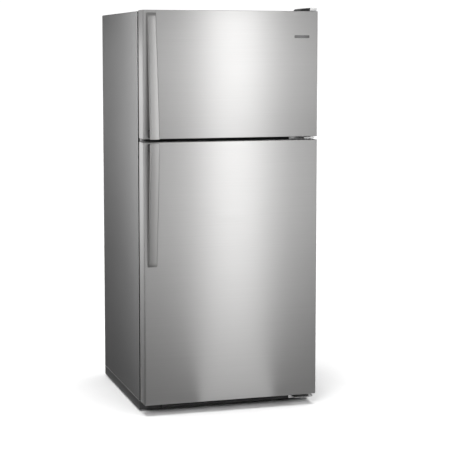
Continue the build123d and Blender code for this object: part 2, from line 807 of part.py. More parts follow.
with BuildPart() as crisper_frame:
    add(shelf_frame(crisper_shelf_z, shelf_back))
    block(-crisper_middle / 2, crisper_middle / 2, shelf_front + frame_front - 4,
          crisper_back, fridge_floor + 0.5, crisper_shelf_z + 1)
    block(-crisper_middle / 2, crisper_middle / 2, shelf_front + frame_front - 4,
          shelf_back - 4, crisper_shelf_z, crisper_shelf_z + 5)
    # a moulded skirt beside each drawer closes the room next to the wall
    guide_inner = fridge_half - crisper_side_room + crisper_gap
    for side in (-1, 1):
        x_low, x_high = sorted((side * guide_inner, side * (guide_inner + guide_thickness)))
        block(x_low, x_high, crisper_front, crisper_back, fridge_floor + 0.5,
              crisper_shelf_z + 1)
        x_low, x_high = sorted((side * guide_inner, side * (fridge_half - ledge_width - 1)))
        block(x_low, x_high, crisper_front, crisper_front + guide_thickness,
              fridge_floor + liner_corner, crisper_shelf_z + 1)
crisper_frame.part.label = "crisper_frame"
export_step(crisper_frame.part, "parts/crisper_frame.step")

with BuildPart() as crisper_glass:
    add(shelf_glass(crisper_shelf_z, shelf_back))
crisper_glass.part.label = "crisper_glass"
export_step(crisper_glass.part, "parts/crisper_glass.step")


def crisper(x_low, x_high):
    """An open-topped drawer with a pull lip along its front."""
    middle_x = (x_low + x_high) / 2
    middle_y = (crisper_front + crisper_back) / 2
    with BuildPart(mode=Mode.PRIVATE) as drawer:
        with BuildSketch(level(crisper_low)):
            with Locations((middle_x, middle_y)):
                RectangleRounded(x_high - x_low, crisper_back - crisper_front, crisper_corner)
        extrude(amount=crisper_height)
        fillet(drawer.faces().sort_by(Axis.Z)[0].edges(), radius=8)
        with BuildSketch(level(crisper_low + crisper_wall)):
            with Locations((middle_x, middle_y)):
                RectangleRounded(x_high - x_low - 2 * crisper_wall,
                                 crisper_back - crisper_front - 2 * crisper_wall,
                                 crisper_corner - crisper_wall)
        extrude(amount=crisper_height, mode=Mode.SUBTRACT)
        block(x_low + crisper_lip_inset, x_high - crisper_lip_inset,
              crisper_front - crisper_lip, crisper_front + 1,
              crisper_low + crisper_height - crisper_lip_height, crisper_low + crisper_height)
        lip_edges = drawer.faces().sort_by(Axis.Y)[0].edges()
        fillet(lip_edges, radius=2.5)
    return drawer.part


crisper_outer = fridge_half - crisper_side_room
crisper_inner = crisper_middle / 2 + crisper_gap
for name, x_low, x_high in (("crisper_left", -crisper_outer, -crisper_inner),
                            ("crisper_right", crisper_inner, crisper_outer)):
    with BuildPart() as drawer:
        add(crisper(x_low, x_high))
    drawer.part.label = name
    export_step(drawer.part, f"parts/{name}.step")

# ================================================================ controls
housing_half = 130.0
housing_front = y_front + 196.0
housing_back = housing_front + 170.0
housing_drop = 36.0
knob_x = 74.0
knob_z = fridge_ceiling - housing_drop / 2
knob_radius = 14.0
knob_depth = 12.0
knob_gap = 0.5
knob_shaft = 3.0
knob_shaft_length = 9.0

with BuildPart() as control_housing:
    block(-housing_half, housing_half, housing_front, housing_back,
          fridge_ceiling - housing_drop, fridge_ceiling)
    fillet(control_housing.edges().filter_by(Axis.Z), radius=12)
    fillet(control_housing.faces().sort_by(Axis.Z)[0].edges(), radius=5)
    rod_y(knob_x, housing_front - 1, housing_front + 12, knob_z,
          knob_shaft + running_clearance, mode=Mode.SUBTRACT)
control_housing.part.label = "control_housing"
export_step(control_housing.part, "parts/control_housing.step")

with BuildPart() as temperature_knob:
    rod_y(knob_x, housing_front - knob_gap - knob_depth, housing_front - knob_gap, knob_z,
          knob_radius)
    fillet(temperature_knob.faces().sort_by(Axis.Y)[0].edges(), radius=1.5)
    rod_y(knob_x, housing_front - knob_gap - 1, housing_front + knob_shaft_length, knob_z,
          knob_shaft)
    # a raised grip across the face shows where the knob points
    block(knob_x - 2, knob_x + 2, housing_front - knob_gap - knob_depth - 3,
          housing_front - knob_gap - 2, knob_z - knob_radius + 3, knob_z + knob_radius - 1)
temperature_knob.part.label = "temperature_knob"
export_step(temperature_knob.part, "parts/temperature_knob.step")

with BuildPart() as light_switch_plunger:
    rod_y(switch_x, dyke_back + gasket_clearance, switch_front + plunger_bore - 2, plunger_z,
          plunger_radius)
    fillet(light_switch_plunger.faces().sort_by(Axis.Y)[0].edges(), radius=1.5)
light_switch_plunger.part.label = "light_switch_plunger"
export_step(light_switch_plunger.part, "parts/light_switch_plunger.step")

# ================================================================ machine space
compressor_x = -170.0
compressor_y = (tray_front + tray_back) / 2
compressor_radius = 74.0
compressor_height = 150.0
compressor_round = 38.0
seam_height = 78.0         # weld seam above the foot plate
seam_depth = 5.0
stub_length = 38.0         # refrigerant tube stubs
terminal_height = 54.0     # terminal box
terminal_half = 26.0
foot_plate = 3.0
grommet_height = 20.0
grommet_radius = 12.0
grommet_bolt = 4.0
foot_x = 82.0
foot_y = 66.0
foot_top = tray_top + grommet_height + foot_plate
feet = [(compressor_x + a * foot_x, compressor_y + b * foot_y)
        for a in (-1, 1) for b in (-1, 1)]

with BuildPart() as compressor:
    block(compressor_x - foot_x - 16, compressor_x + foot_x + 16, compressor_y - foot_y - 14,
          compressor_y + foot_y + 14, tray_top + grommet_height, foot_top)
    for x, y in feet:
        post(x, y, tray_top, foot_top + 1, grommet_bolt, mode=Mode.SUBTRACT)
    post(compressor_x, compressor_y, foot_top, foot_top + compressor_height, compressor_radius)
    ends = compressor.edges().filter_by(GeomType.CIRCLE)
    fillet(ends.filter_by(lambda edge: edge.radius > 20).sort_by(Axis.Z)[-1],
           radius=compressor_round)
    post(compressor_x, compressor_y, foot_top + seam_height,
         foot_top + seam_height + seam_depth, compressor_radius + seam_depth)
    stub_start = compressor_x + compressor_radius - 12
    for y, z, radius in ((compressor_y - 20, foot_top + 40, 4), (compressor_y + 20, foot_top + 60, 5)):
        rod_x(stub_start, stub_start + stub_length, y, z, radius)
    block(compressor_x - compressor_radius - 22, compressor_x - compressor_radius + 12,
          compressor_y - terminal_half, compressor_y + terminal_half,
          foot_top + 30, foot_top + 30 + terminal_height)
compressor.part.label = "compressor"
export_step(compressor.part, "parts/compressor.step")

with BuildPart() as compressor_grommets:
    for x, y in feet:
        post(x, y, tray_top, tray_top + grommet_height, grommet_radius)
        post(x, y, tray_top, tray_top + grommet_height, grommet_bolt, mode=Mode.SUBTRACT)
compressor_grommets.part.label = "compressor_grommets"
export_step(compressor_grommets.part, "parts/compressor_grommets.step")

condenser_rise = 24.0
condenser_runs = 6
condenser_half = 78.0
condenser_x = 212.0
condenser_low = tray_top + 56.0
condenser_tube = 3.5
condenser_rows = [tray_front + 36.0, tray_back - 44.0]
fan_x = 84.0
fan_y = compressor_y
fan_z = tray_top + 112.0
condenser_fan_radius = 62.0
pan_left = 108.0
pan_right = 308.0
pan_height = 30.0
pan_wall = 2.0

with BuildPart() as condenser_coil:
    for y in condenser_rows:
        with Locations((condenser_x, y, condenser_low)):
            add(tube_along(serpentine(condenser_half, condenser_rise, condenser_runs),
                           condenser_tube))
    # the last run of each row ends on a header that joins the rows
    header_x = condenser_x - condenser_half
    header_z = condenser_low + (condenser_runs - 1) * condenser_rise
    rod_y(header_x, condenser_rows[0], condenser_rows[1], header_z, condenser_tube + 1)
    rod_y(header_x, condenser_rows[0], condenser_rows[1], condenser_low, condenser_tube + 1)
condenser_coil.part.label = "condenser_coil"
export_step(condenser_coil.part, "parts/condenser_coil.step")

with BuildPart() as condenser_fan_blade:
    with Locations(Location((fan_x, fan_y, fan_z), (0, 90, 0))):
        add(fan_blades(5, 18, condenser_fan_radius, 18, 28))
condenser_fan_blade.part.label = "condenser_fan_blade"
export_step(condenser_fan_blade.part, "parts/condenser_fan_blade.step")

with BuildPart() as condenser_fan_motor:
    rod_x(fan_x - 74, fan_x - 24, fan_y, fan_z, 22)
    rod_x(fan_x - 25, fan_x + 8, fan_y, fan_z, motor_shaft_radius)
    block(fan_x - 50, fan_x - 47, fan_y - 34, fan_y + 34, tray_top, fan_z + 30)
    block(fan_x - 68, fan_x - 47, fan_y - 34, fan_y + 34, tray_top, tray_top + 3)
condenser_fan_motor.part.label = "condenser_fan_motor"
export_step(condenser_fan_motor.part, "parts/condenser_fan_motor.step")

with BuildPart() as drain_pan:
    block(pan_left, pan_right, tray_front + 6, tray_back - 12, tray_top, tray_top + pan_height)
    fillet(drain_pan.edges().filter_by(Axis.Z), radius=12)
    offset(amount=-pan_wall, openings=drain_pan.faces().sort_by(Axis.Z)[-1])
drain_pan.part.label = "drain_pan"
export_step(drain_pan.part, "parts/drain_pan.step")

cover_side_gap = 4.0
louver_pitch = 30.0
louver_width = 22.0
louver_height = 5.0
louver_rows = 9

with BuildPart() as machine_cover:
    block(-half + cover_side_gap, half - cover_side_gap, y_back - cover_sheet, y_back,
          floor_clearance + 6, machine_top - sheet)
    block(-half + cover_side_gap, -channel_inner, y_back - cover_sheet, y_back,
          floor_clearance + 6, rail_top + 1, mode=Mode.SUBTRACT)
    block(channel_inner, half - cover_side_gap, y_back - cover_sheet, y_back,
          floor_clearance + 6, rail_top + 1, mode=Mode.SUBTRACT)
    with BuildSketch(front_plane(y_back)):
        for x in (-190, 150):
            with Locations((x, fan_z)):
                with GridLocations(louver_pitch, 15, 7, louver_rows):
                    SlotOverall(louver_width, louver_height)
    extrude(amount=cover_sheet, mode=Mode.SUBTRACT)
machine_cover.part.label = "machine_cover"
export_step(machine_cover.part, "parts/machine_cover.step")

# ================================================================ doors
def door_space(z_low, z_high, inset, y_rear):
    """The door seen from above, drawn in by inset, with round front edges."""
    with BuildPart(mode=Mode.PRIVATE) as space:
        with BuildSketch(level(z_low)) as outline:
            with BuildLine():
                Polyline((-half + inset, y_door + inset), (half - inset, y_door + inset),
                         (half - inset, y_rear), (-half + inset, y_rear), close=True)
            make_face()
            front_corners = outline.vertices().group_by(Axis.Y)[0]
            fillet(front_corners, radius=door_corner - inset)
        extrude(amount=z_high - z_low)
    return space.part


def door_skin(z_low, z_high):
    """Folded steel: the front, both sides and a return behind each side."""
    with BuildPart(mode=Mode.PRIVATE) as skin:
        add(door_space(z_low, z_high, 0, y_door_back))
        add(door_space(z_low, z_high, sheet, y_door_back - sheet), mode=Mode.SUBTRACT)
        block(-half + skin_return, half - skin_return, y_door_back - 2 * sheet, y_door_back + 1,
              z_low, z_high, mode=Mode.SUBTRACT)
    return skin.part


def door_cap(z_low, z_high, pin_low, pin_high):
    """End cap inside the skin, with a bore for a hinge pin."""
    with BuildPart(mode=Mode.PRIVATE) as cap:
        add(door_space(z_low, z_high, sheet, y_door_back - liner_sheet))
        post(pivot_x, pivot_y, pin_low, pin_high, pin_radius + pin_clearance,
             mode=Mode.SUBTRACT)
    return cap.part


def rounded_frame(outer, inner, z_out, z_in, corner_out, corner_in, y_low, y_high):
    """A flat ring standing upright between y_low and y_high."""
    with BuildPart(mode=Mode.PRIVATE) as ring:
        with BuildSketch(front_plane(y_low)):
            with Locations((0, (z_out[0] + z_out[1]) / 2)):
                RectangleRounded(2 * outer, z_out[1] - z_out[0], corner_out)
            with Locations((0, (z_in[0] + z_in[1]) / 2)):
                RectangleRounded(2 * inner, z_in[1] - z_in[0], corner_in, mode=Mode.SUBTRACT)
        extrude(amount=-(y_high - y_low))
    return ring.part


def door_gasket(z_low, z_high):
    outer = half - gasket_inset
    inner = outer - gasket_width
    z_out = (z_low + gasket_end_inset, z_high - gasket_end_inset)
    z_in = (z_out[0] + gasket_width, z_out[1] - gasket_width)
    return rounded_frame(outer, inner, z_out, z_in, 8, 4, y_door_back,
                         y_front - gasket_clearance)


def door_liner(z_low, z_high, side, z_dyke):
    """Inner panel with the raised hollow rim that closes inside the compartment."""
    inner = side - dyke_width
    z_inner = (z_dyke[0] + dyke_width, z_dyke[1] - dyke_width)
    shell = liner_sheet
    with BuildPart(mode=Mode.PRIVATE) as liner:
        block(-half + skin_return, half - skin_return, y_door_back - shell, y_door_back,
              z_low + shell, z_high - shell)
        add(rounded_frame(side, inner, z_dyke, z_inner, 16, 10, y_door_back - shell, dyke_back))
        add(rounded_frame(side - shell, inner + shell, (z_dyke[0] + shell, z_dyke[1] - shell),
                          (z_inner[0] - shell, z_inner[1] + shell), 14, 12,
                          y_door_back - 2 * shell, dyke_back - shell), mode=Mode.SUBTRACT)
    return liner.part


def bin_lugs(inner, z):
    """Lugs on the rim's inner faces that a door bin sits on; their tops are at z."""
    for x_low, x_high in ((-inner - 1, -inner + lug_width), (inner - lug_width, inner + 1)):
        block(x_low, x_high, y_door_back + 10, dyke_back - 6, z - lug_height, z)


def door_bin(inner, z):
    """An open bin between the rims, with a bowed front wall."""
    side = inner - bin_clearance
    y_low = y_door_back + bin_clearance
    y_high = y_door_back + bin_depth
    with BuildPart(mode=Mode.PRIVATE) as bin_box:
        block(-side, side, y_low, y_high, z, z + bin_height)
        upright = bin_box.edges().filter_by(Axis.Z).group_by(Axis.Y)[-1]
        fillet(upright, radius=bin_corner)
        fillet(bin_box.faces().sort_by(Axis.Z)[0].edges().sort_by(Axis.Y)[-3:], radius=6)
        offset(amount=-bin_wall, openings=bin_box.faces().sort_by(Axis.Z)[-1])
        # the side walls step down towards the door, where the rim holds the bin
        block(-side - 1, side + 1, y_low - 1, dyke_back - 4, z + bin_height - bin_step,
              z + bin_height + 1, mode=Mode.SUBTRACT)
    return bin_box.part


def handle_bar(z_flush, z_open):
    """A bowed bar that leaves the door at z_flush and stands off it at z_open."""
    z_middle = (z_flush + z_open) / 2
    mean = (handle_flush + handle_proud) / 2 + handle_bow
    x_low = -half + handle_inset
    with BuildPart(mode=Mode.PRIVATE) as bar:
        with BuildSketch(side_plane(x_low)):
            with BuildLine():
                ThreePointArc((y_door - handle_flush, z_flush), (y_door - mean, z_middle),
                              (y_door - handle_proud, z_open))
                Line((y_door - handle_proud, z_open),
                     (y_door - handle_proud + handle_thickness, z_open))
                ThreePointArc((y_door - handle_proud + handle_thickness, z_open),
                              (y_door - mean + handle_thickness - 1, z_middle),
                              (y_door, z_flush))
                Line((y_door, z_flush), (y_door - handle_flush, z_flush))
            make_face()
        extrude(amount=handle_width)
        fillet(bar.faces().sort_by(Axis.X)[0].edges().sort_by(Axis.Y)[0], radius=handle_edge)
        fillet(bar.faces().sort_by(Axis.X)[-1].edges().sort_by(Axis.Y)[0], radius=handle_edge)
    return bar.part


def handle_post(z_open, direction):
    """The post between the door and the bar's open end."""
    z_start = z_open - direction * post_inset
    z_low, z_high = sorted((z_start, z_start - direction * post_length))
    x_low = -half + handle_inset + 3
    with BuildPart(mode=Mode.PRIVATE) as support:
        block(x_low, x_low + handle_width - 6, y_door - handle_proud + handle_thickness / 2,
              y_door, z_low, z_high)
    return support.part


freezer_dyke = (freezer_floor + dyke_end_clearance, freezer_ceiling - dyke_end_clearance)
fridge_dyke = (fridge_floor + dyke_end_clearance, fridge_ceiling - dyke_end_clearance)
freezer_rim = freezer_half - dyke_clearance
fridge_rim = fridge_half - dyke_clearance
freezer_rim_inner = freezer_rim - dyke_width
fridge_rim_inner = fridge_rim - dyke_width

freezer_bin_z = freezer_dyke[0] + dyke_width + lug_height + 4
lower_bin_z = fridge_dyke[0] + dyke_width + lug_height + 4
upper_bin_z = (lower_bin_z + fridge_dyke[1]) / 2 - 60

# ---------------------------------------------------------------- freezer door
with BuildPart() as freezer_door_skin:
    add(door_skin(freezer_door_bottom, door_top))
freezer_door_skin.part.label = "freezer_door_skin"
export_step(freezer_door_skin.part, "parts/freezer_door_skin.step")

with BuildPart() as freezer_door_caps:
    add(door_cap(door_top - cap_height, door_top, door_top - pin_engagement - 2, door_top + 1))
    add(door_cap(freezer_door_bottom, freezer_door_bottom + cap_height,
                 freezer_door_bottom - 1, freezer_door_bottom + pin_engagement + 2))
freezer_door_caps.part.label = "freezer_door_caps"
export_step(freezer_door_caps.part, "parts/freezer_door_caps.step")

with BuildPart() as freezer_door_foam:
    add(door_space(freezer_door_bottom + cap_height, door_top - cap_height, sheet,
                   y_door_back - liner_sheet))
freezer_door_foam.part.label = "freezer_door_foam"
export_step(freezer_door_foam.part, "parts/freezer_door_foam.step")

with BuildPart() as freezer_door_liner:
    add(door_liner(freezer_door_bottom, door_top, freezer_rim, freezer_dyke))
    bin_lugs(freezer_rim_inner, freezer_bin_z)
freezer_door_liner.part.label = "freezer_door_liner"
export_step(freezer_door_liner.part, "parts/freezer_door_liner.step")

with BuildPart() as freezer_door_gasket:
    add(door_gasket(freezer_door_bottom, door_top))
freezer_door_gasket.part.label = "freezer_door_gasket"
export_step(freezer_door_gasket.part, "parts/freezer_door_gasket.step")

with BuildPart() as freezer_door_bin:
    add(door_bin(freezer_rim_inner, freezer_bin_z))
freezer_door_bin.part.label = "freezer_door_bin"
export_step(freezer_door_bin.part, "parts/freezer_door_bin.step")

freezer_handle_open = freezer_door_bottom + handle_end_inset
freezer_handle_flush = freezer_handle_open + handle_length

with BuildPart() as freezer_handle:
    add(handle_bar(freezer_handle_flush, freezer_handle_open))
freezer_handle.part.label = "freezer_handle"
export_step(freezer_handle.part, "parts/freezer_handle.step")

with BuildPart() as freezer_handle_post:
    add(handle_post(freezer_handle_open, -1))
    add(freezer_handle.part, mode=Mode.SUBTRACT)
freezer_handle_post.part.label = "freezer_handle_post"
export_step(freezer_handle_post.part, "parts/freezer_handle_post.step")

with BuildPart() as badge:
    with BuildSketch(front_plane(y_door)):
        with Locations((half - badge_side_inset - badge_width / 2, door_top - badge_drop)):
            RectangleRounded(badge_width, badge_height, 2)
    extrude(amount=badge_thickness)
badge.part.label = "badge"
export_step(badge.part, "parts/badge.step")

# ---------------------------------------------------------------- fridge door
dairy_drop = 168.0         # dairy ledge below the rim's top
dairy_depth = 70.0
dairy_floor = 4.0
cheek_thickness = 5.0
cheek_inset = 6.0
dairy_z = fridge_dyke[1] - dyke_width - dairy_drop
cheek_outer = fridge_rim_inner - cheek_inset
cheek_inner = cheek_outer - cheek_thickness
cheek_top = fridge_dyke[1] - dyke_width - 2
lid_gap = 1.5
lid_thickness = 2.5
lid_pin_radius = 3.0
lid_pivot_z = cheek_top - 9.0
lid_pivot_y = y_door_back + dairy_depth - 8.0
lid_low = dairy_z + dairy_floor + 3.0
lid_bow = 8.0

with BuildPart() as fridge_door_skin:
    add(door_skin(fridge_door_bottom, fridge_door_top))
fridge_door_skin.part.label = "fridge_door_skin"
export_step(fridge_door_skin.part, "parts/fridge_door_skin.step")

with BuildPart() as fridge_door_caps:
    add(door_cap(fridge_door_top - cap_height, fridge_door_top,
                 fridge_door_top - pin_engagement - 2, fridge_door_top + 1))
    add(door_cap(fridge_door_bottom, fridge_door_bottom + cap_height,
                 fridge_door_bottom - 1, fridge_door_bottom + pin_engagement + 2))
fridge_door_caps.part.label = "fridge_door_caps"
export_step(fridge_door_caps.part, "parts/fridge_door_caps.step")

with BuildPart() as fridge_door_foam:
    add(door_space(fridge_door_bottom + cap_height, fridge_door_top - cap_height, sheet,
                   y_door_back - liner_sheet))
fridge_door_foam.part.label = "fridge_door_foam"
export_step(fridge_door_foam.part, "parts/fridge_door_foam.step")

with BuildPart() as fridge_door_liner:
    add(door_liner(fridge_door_bottom, fridge_door_top, fridge_rim, fridge_dyke))
    bin_lugs(fridge_rim_inner, lower_bin_z)
    bin_lugs(fridge_rim_inner, upper_bin_z)
    block(-fridge_rim_inner - 1, fridge_rim_inner + 1, y_door_back - 1,
          y_door_back + dairy_depth, dairy_z, dairy_z + dairy_floor)
    for x_low, x_high in ((-cheek_outer, -cheek_inner), (cheek_inner, cheek_outer)):
        block(x_low, x_high, y_door_back - 1, y_door_back + dairy_depth, dairy_z, cheek_top)
    rod_x(-cheek_outer - 1, cheek_outer + 1, lid_pivot_y, lid_pivot_z,
          lid_pin_radius + running_clearance, mode=Mode.SUBTRACT)
fridge_door_liner.part.label = "fridge_door_liner"
export_step(fridge_door_liner.part, "parts/fridge_door_liner.step")

with BuildPart() as dairy_lid:
    with BuildSketch(side_plane(-cheek_inner + lid_gap)):
        with BuildLine():
            ThreePointArc((lid_pivot_y + 2, lid_pivot_z + 4),
                          (lid_pivot_y + lid_bow + 2, (lid_pivot_z + lid_low) / 2),
                          (lid_pivot_y + 4, lid_low))
            Line((lid_pivot_y + 4, lid_low), (lid_pivot_y + 4 - lid_thickness, lid_low))
            ThreePointArc((lid_pivot_y + 4 - lid_thickness, lid_low),
                          (lid_pivot_y + lid_bow + 2 - lid_thickness,
                           (lid_pivot_z + lid_low) / 2),
                          (lid_pivot_y + 2 - lid_thickness, lid_pivot_z + 4))
            Line((lid_pivot_y + 2 - lid_thickness, lid_pivot_z + 4),
                 (lid_pivot_y + 2, lid_pivot_z + 4))
        make_face()
    extrude(amount=2 * (cheek_inner - lid_gap))
    for side in (-1, 1):
        x_low, x_high = sorted((side * (cheek_inner - lid_gap - 8), side * (cheek_inner - lid_gap)))
        rod_x(x_low, x_high, lid_pivot_y, lid_pivot_z, lid_pin_radius + 3)
        x_low, x_high = sorted((side * (cheek_inner - lid_gap - 8), side * (cheek_outer - 0.5)))
        rod_x(x_low, x_high, lid_pivot_y, lid_pivot_z, lid_pin_radius)
dairy_lid.part.label = "dairy_lid"
export_step(dairy_lid.part, "parts/dairy_lid.step")

with BuildPart() as fridge_door_gasket:
    add(door_gasket(fridge_door_bottom, fridge_door_top))
fridge_door_gasket.part.label = "fridge_door_gasket"
export_step(fridge_door_gasket.part, "parts/fridge_door_gasket.step")

for name, z in (("fridge_door_bin_lower", lower_bin_z), ("fridge_door_bin_upper", upper_bin_z)):
    with BuildPart() as door_shelf:
        add(door_bin(fridge_rim_inner, z))
    door_shelf.part.label = name
    export_step(door_shelf.part, f"parts/{name}.step")

fridge_handle_open = fridge_door_top - handle_end_inset
fridge_handle_flush = fridge_handle_open - handle_length

with BuildPart() as fridge_handle:
    add(handle_bar(fridge_handle_flush, fridge_handle_open))
fridge_handle.part.label = "fridge_handle"
export_step(fridge_handle.part, "parts/fridge_handle.step")

with BuildPart() as fridge_handle_post:
    add(handle_post(fridge_handle_open, 1))
    add(fridge_handle.part, mode=Mode.SUBTRACT)
fridge_handle_post.part.label = "fridge_handle_post"
export_step(fridge_handle_post.part, "parts/fridge_handle_post.step")
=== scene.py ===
"""The looks of a top freezer refrigerator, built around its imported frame.

Metres, in the frame's own axes: X to the right of a person who faces the doors, -Y towards them, +Z up.
"""

import json
import math

import bmesh
import bpy
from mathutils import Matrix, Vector


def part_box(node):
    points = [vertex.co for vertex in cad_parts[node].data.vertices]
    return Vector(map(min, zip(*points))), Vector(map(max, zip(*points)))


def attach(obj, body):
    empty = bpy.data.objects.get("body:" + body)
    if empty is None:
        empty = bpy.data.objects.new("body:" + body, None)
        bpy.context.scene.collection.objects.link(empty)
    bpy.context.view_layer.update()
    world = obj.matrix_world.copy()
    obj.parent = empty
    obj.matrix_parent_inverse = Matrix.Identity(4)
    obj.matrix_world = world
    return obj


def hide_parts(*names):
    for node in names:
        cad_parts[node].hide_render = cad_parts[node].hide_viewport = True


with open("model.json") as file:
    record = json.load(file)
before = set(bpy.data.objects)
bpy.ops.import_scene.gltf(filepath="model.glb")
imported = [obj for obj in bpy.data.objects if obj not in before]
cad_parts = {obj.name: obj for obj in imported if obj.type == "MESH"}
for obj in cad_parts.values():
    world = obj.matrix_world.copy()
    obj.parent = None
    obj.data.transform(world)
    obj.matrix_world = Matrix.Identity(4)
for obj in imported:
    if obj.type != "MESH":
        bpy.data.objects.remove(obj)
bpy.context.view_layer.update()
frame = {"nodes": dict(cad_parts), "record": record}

MM = 0.001
scene = bpy.context.scene

# ---------------------------------------------------------------- sizes from the frame
skin_low, skin_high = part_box("fridge_door_skin")
_, freezer_skin_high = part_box("freezer_door_skin")
wrapper_low, wrapper_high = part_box("cabinet_wrapper")
half = wrapper_high.x
y_door = skin_low.y
y_door_back = skin_high.y
y_front = wrapper_low.y
y_back = wrapper_high.y

# ---------------------------------------------------------------- camera
CAMERA_PLACE = (-1.5898, -5.5463, 1.4187)
CAMERA_YAW = 16.719        # degrees, to the right of straight ahead
CAMERA_DROP = 5.585        # degrees below the horizon
CAMERA_LENS = 111.33       # millimetres on a 36 mm sensor
CAMERA_SHIFT = -0.08

camera = bpy.data.objects.new("camera", bpy.data.cameras.new("camera"))
scene.collection.objects.link(camera)
scene.camera = camera
camera.location = CAMERA_PLACE
camera.rotation_euler = (math.radians(90 - CAMERA_DROP), 0, math.radians(-CAMERA_YAW))
camera.data.sensor_width = 36.0
camera.data.lens = CAMERA_LENS
camera.data.shift_y = CAMERA_SHIFT
scene.view_settings.view_transform = "Standard"


# ---------------------------------------------------------------- materials
def socket_links(material):
    """A material's nodes, its links and its shader."""
    nodes, links = material.node_tree.nodes, material.node_tree.links
    return nodes, links, nodes["Principled BSDF"]


def grain(material, stretch, scale, detail=3.0, rough=0.55):
    """A noise in the object's own metres, stretched along its axes."""
    nodes, links, _ = socket_links(material)
    place = nodes.new("ShaderNodeTexCoord")
    mapping = nodes.new("ShaderNodeMapping")
    mapping.inputs["Scale"].default_value = stretch
    noise = nodes.new("ShaderNodeTexNoise")
    noise.inputs["Scale"].default_value = scale
    noise.inputs["Detail"].default_value = detail
    noise.inputs["Roughness"].default_value = rough
    links.new(place.outputs["Object"], mapping.inputs["Vector"])
    links.new(mapping.outputs["Vector"], noise.inputs["Vector"])
    return noise.outputs["Fac"]


def ramp(material, source, low, high):
    """source from its usual spread of 0.3 to 0.7 onto low to high."""
    nodes, links, _ = socket_links(material)
    spread = nodes.new("ShaderNodeMapRange")
    for name, value in (("From Min", 0.3), ("From Max", 0.7), ("To Min", low), ("To Max", high)):
        spread.inputs[name].default_value = value
    links.new(source, spread.inputs["Value"])
    return spread.outputs["Result"]


def tint(material, source, dark, light):
    """A colour between dark and light, by source."""
    nodes, links, _ = socket_links(material)
    mix = nodes.new("ShaderNodeMix")
    mix.data_type = "RGBA"
    mix.inputs["A"].default_value = (*dark, 1)
    mix.inputs["B"].default_value = (*light, 1)
    links.new(source, mix.inputs["Factor"])
    return mix.outputs["Result"]


def relief(material, source, depth, strength=1.0):
    """A bump of depth metres, from source."""
    nodes, links, shader = socket_links(material)
    bump = nodes.new("ShaderNodeBump")
    bump.inputs["Distance"].default_value = depth
    bump.inputs["Strength"].default_value = strength
    links.new(source, bump.inputs["Height"])
    links.new(bump.outputs["Normal"], shader.inputs["Normal"])


def shade(colour, factor):
    """A colour made darker or lighter by factor."""
    return tuple(min(1.0, c * factor) for c in colour)


def finish(name, colour, rough, vary=0.06, rough_vary=0.05, stretch=(1, 1, 1), scale=60.0,
           patch=4.0, depth=0.00005, bump=0.4, **sockets):
    """One finish: fine grain in colour, roughness and relief, over slow patches in colour."""
    material = bpy.data.materials.new(name)
    material.use_nodes = True
    nodes, links, shader = socket_links(material)
    for socket, value in sockets.items():
        shader.inputs[socket.replace("_", " ")].default_value = value
    fine = grain(material, stretch, scale)
    slow = grain(material, (1, 1, 1), patch, detail=1.5)
    both = nodes.new("ShaderNodeMath")
    both.operation = "MULTIPLY_ADD"
    both.inputs[1].default_value = 0.6
    links.new(fine, both.inputs[0])
    part = nodes.new("ShaderNodeMath")
    part.operation = "MULTIPLY"
    part.inputs[1].default_value = 0.4
    links.new(slow, part.inputs[0])
    links.new(part.outputs[0], both.inputs[2])
    spread = ramp(material, both.outputs[0], 0, 1)
    links.new(tint(material, spread, shade(colour, 1 - vary), shade(colour, 1 + vary)),
              shader.inputs["Base Color"])
    links.new(ramp(material, fine, rough - rough_vary, rough + rough_vary),
              shader.inputs["Roughness"])
    relief(material, fine, depth, bump)
    return material


def grey(value, warm=0.0):
    """A grey, a little warm or cold."""
    return (value + warm, value, value - warm)


def brushed(name, tone, stretch, turn):
    """Brushed stainless steel. Its grain runs along the mesh's U direction."""
    steel = finish(name, grey(tone, 0.004), 0.33, vary=0.05, rough_vary=0.035, stretch=stretch,
                   scale=5.0, patch=1.3, depth=0.00002, bump=0.25, Metallic=1.0,
                   Anisotropic=0.55, Anisotropic_Rotation=turn)
    nodes, links, shader = socket_links(steel)
    tangent = nodes.new("ShaderNodeTangent")
    tangent.direction_type = "UV_MAP"
    links.new(tangent.outputs["Tangent"], shader.inputs["Tangent"])
    return steel


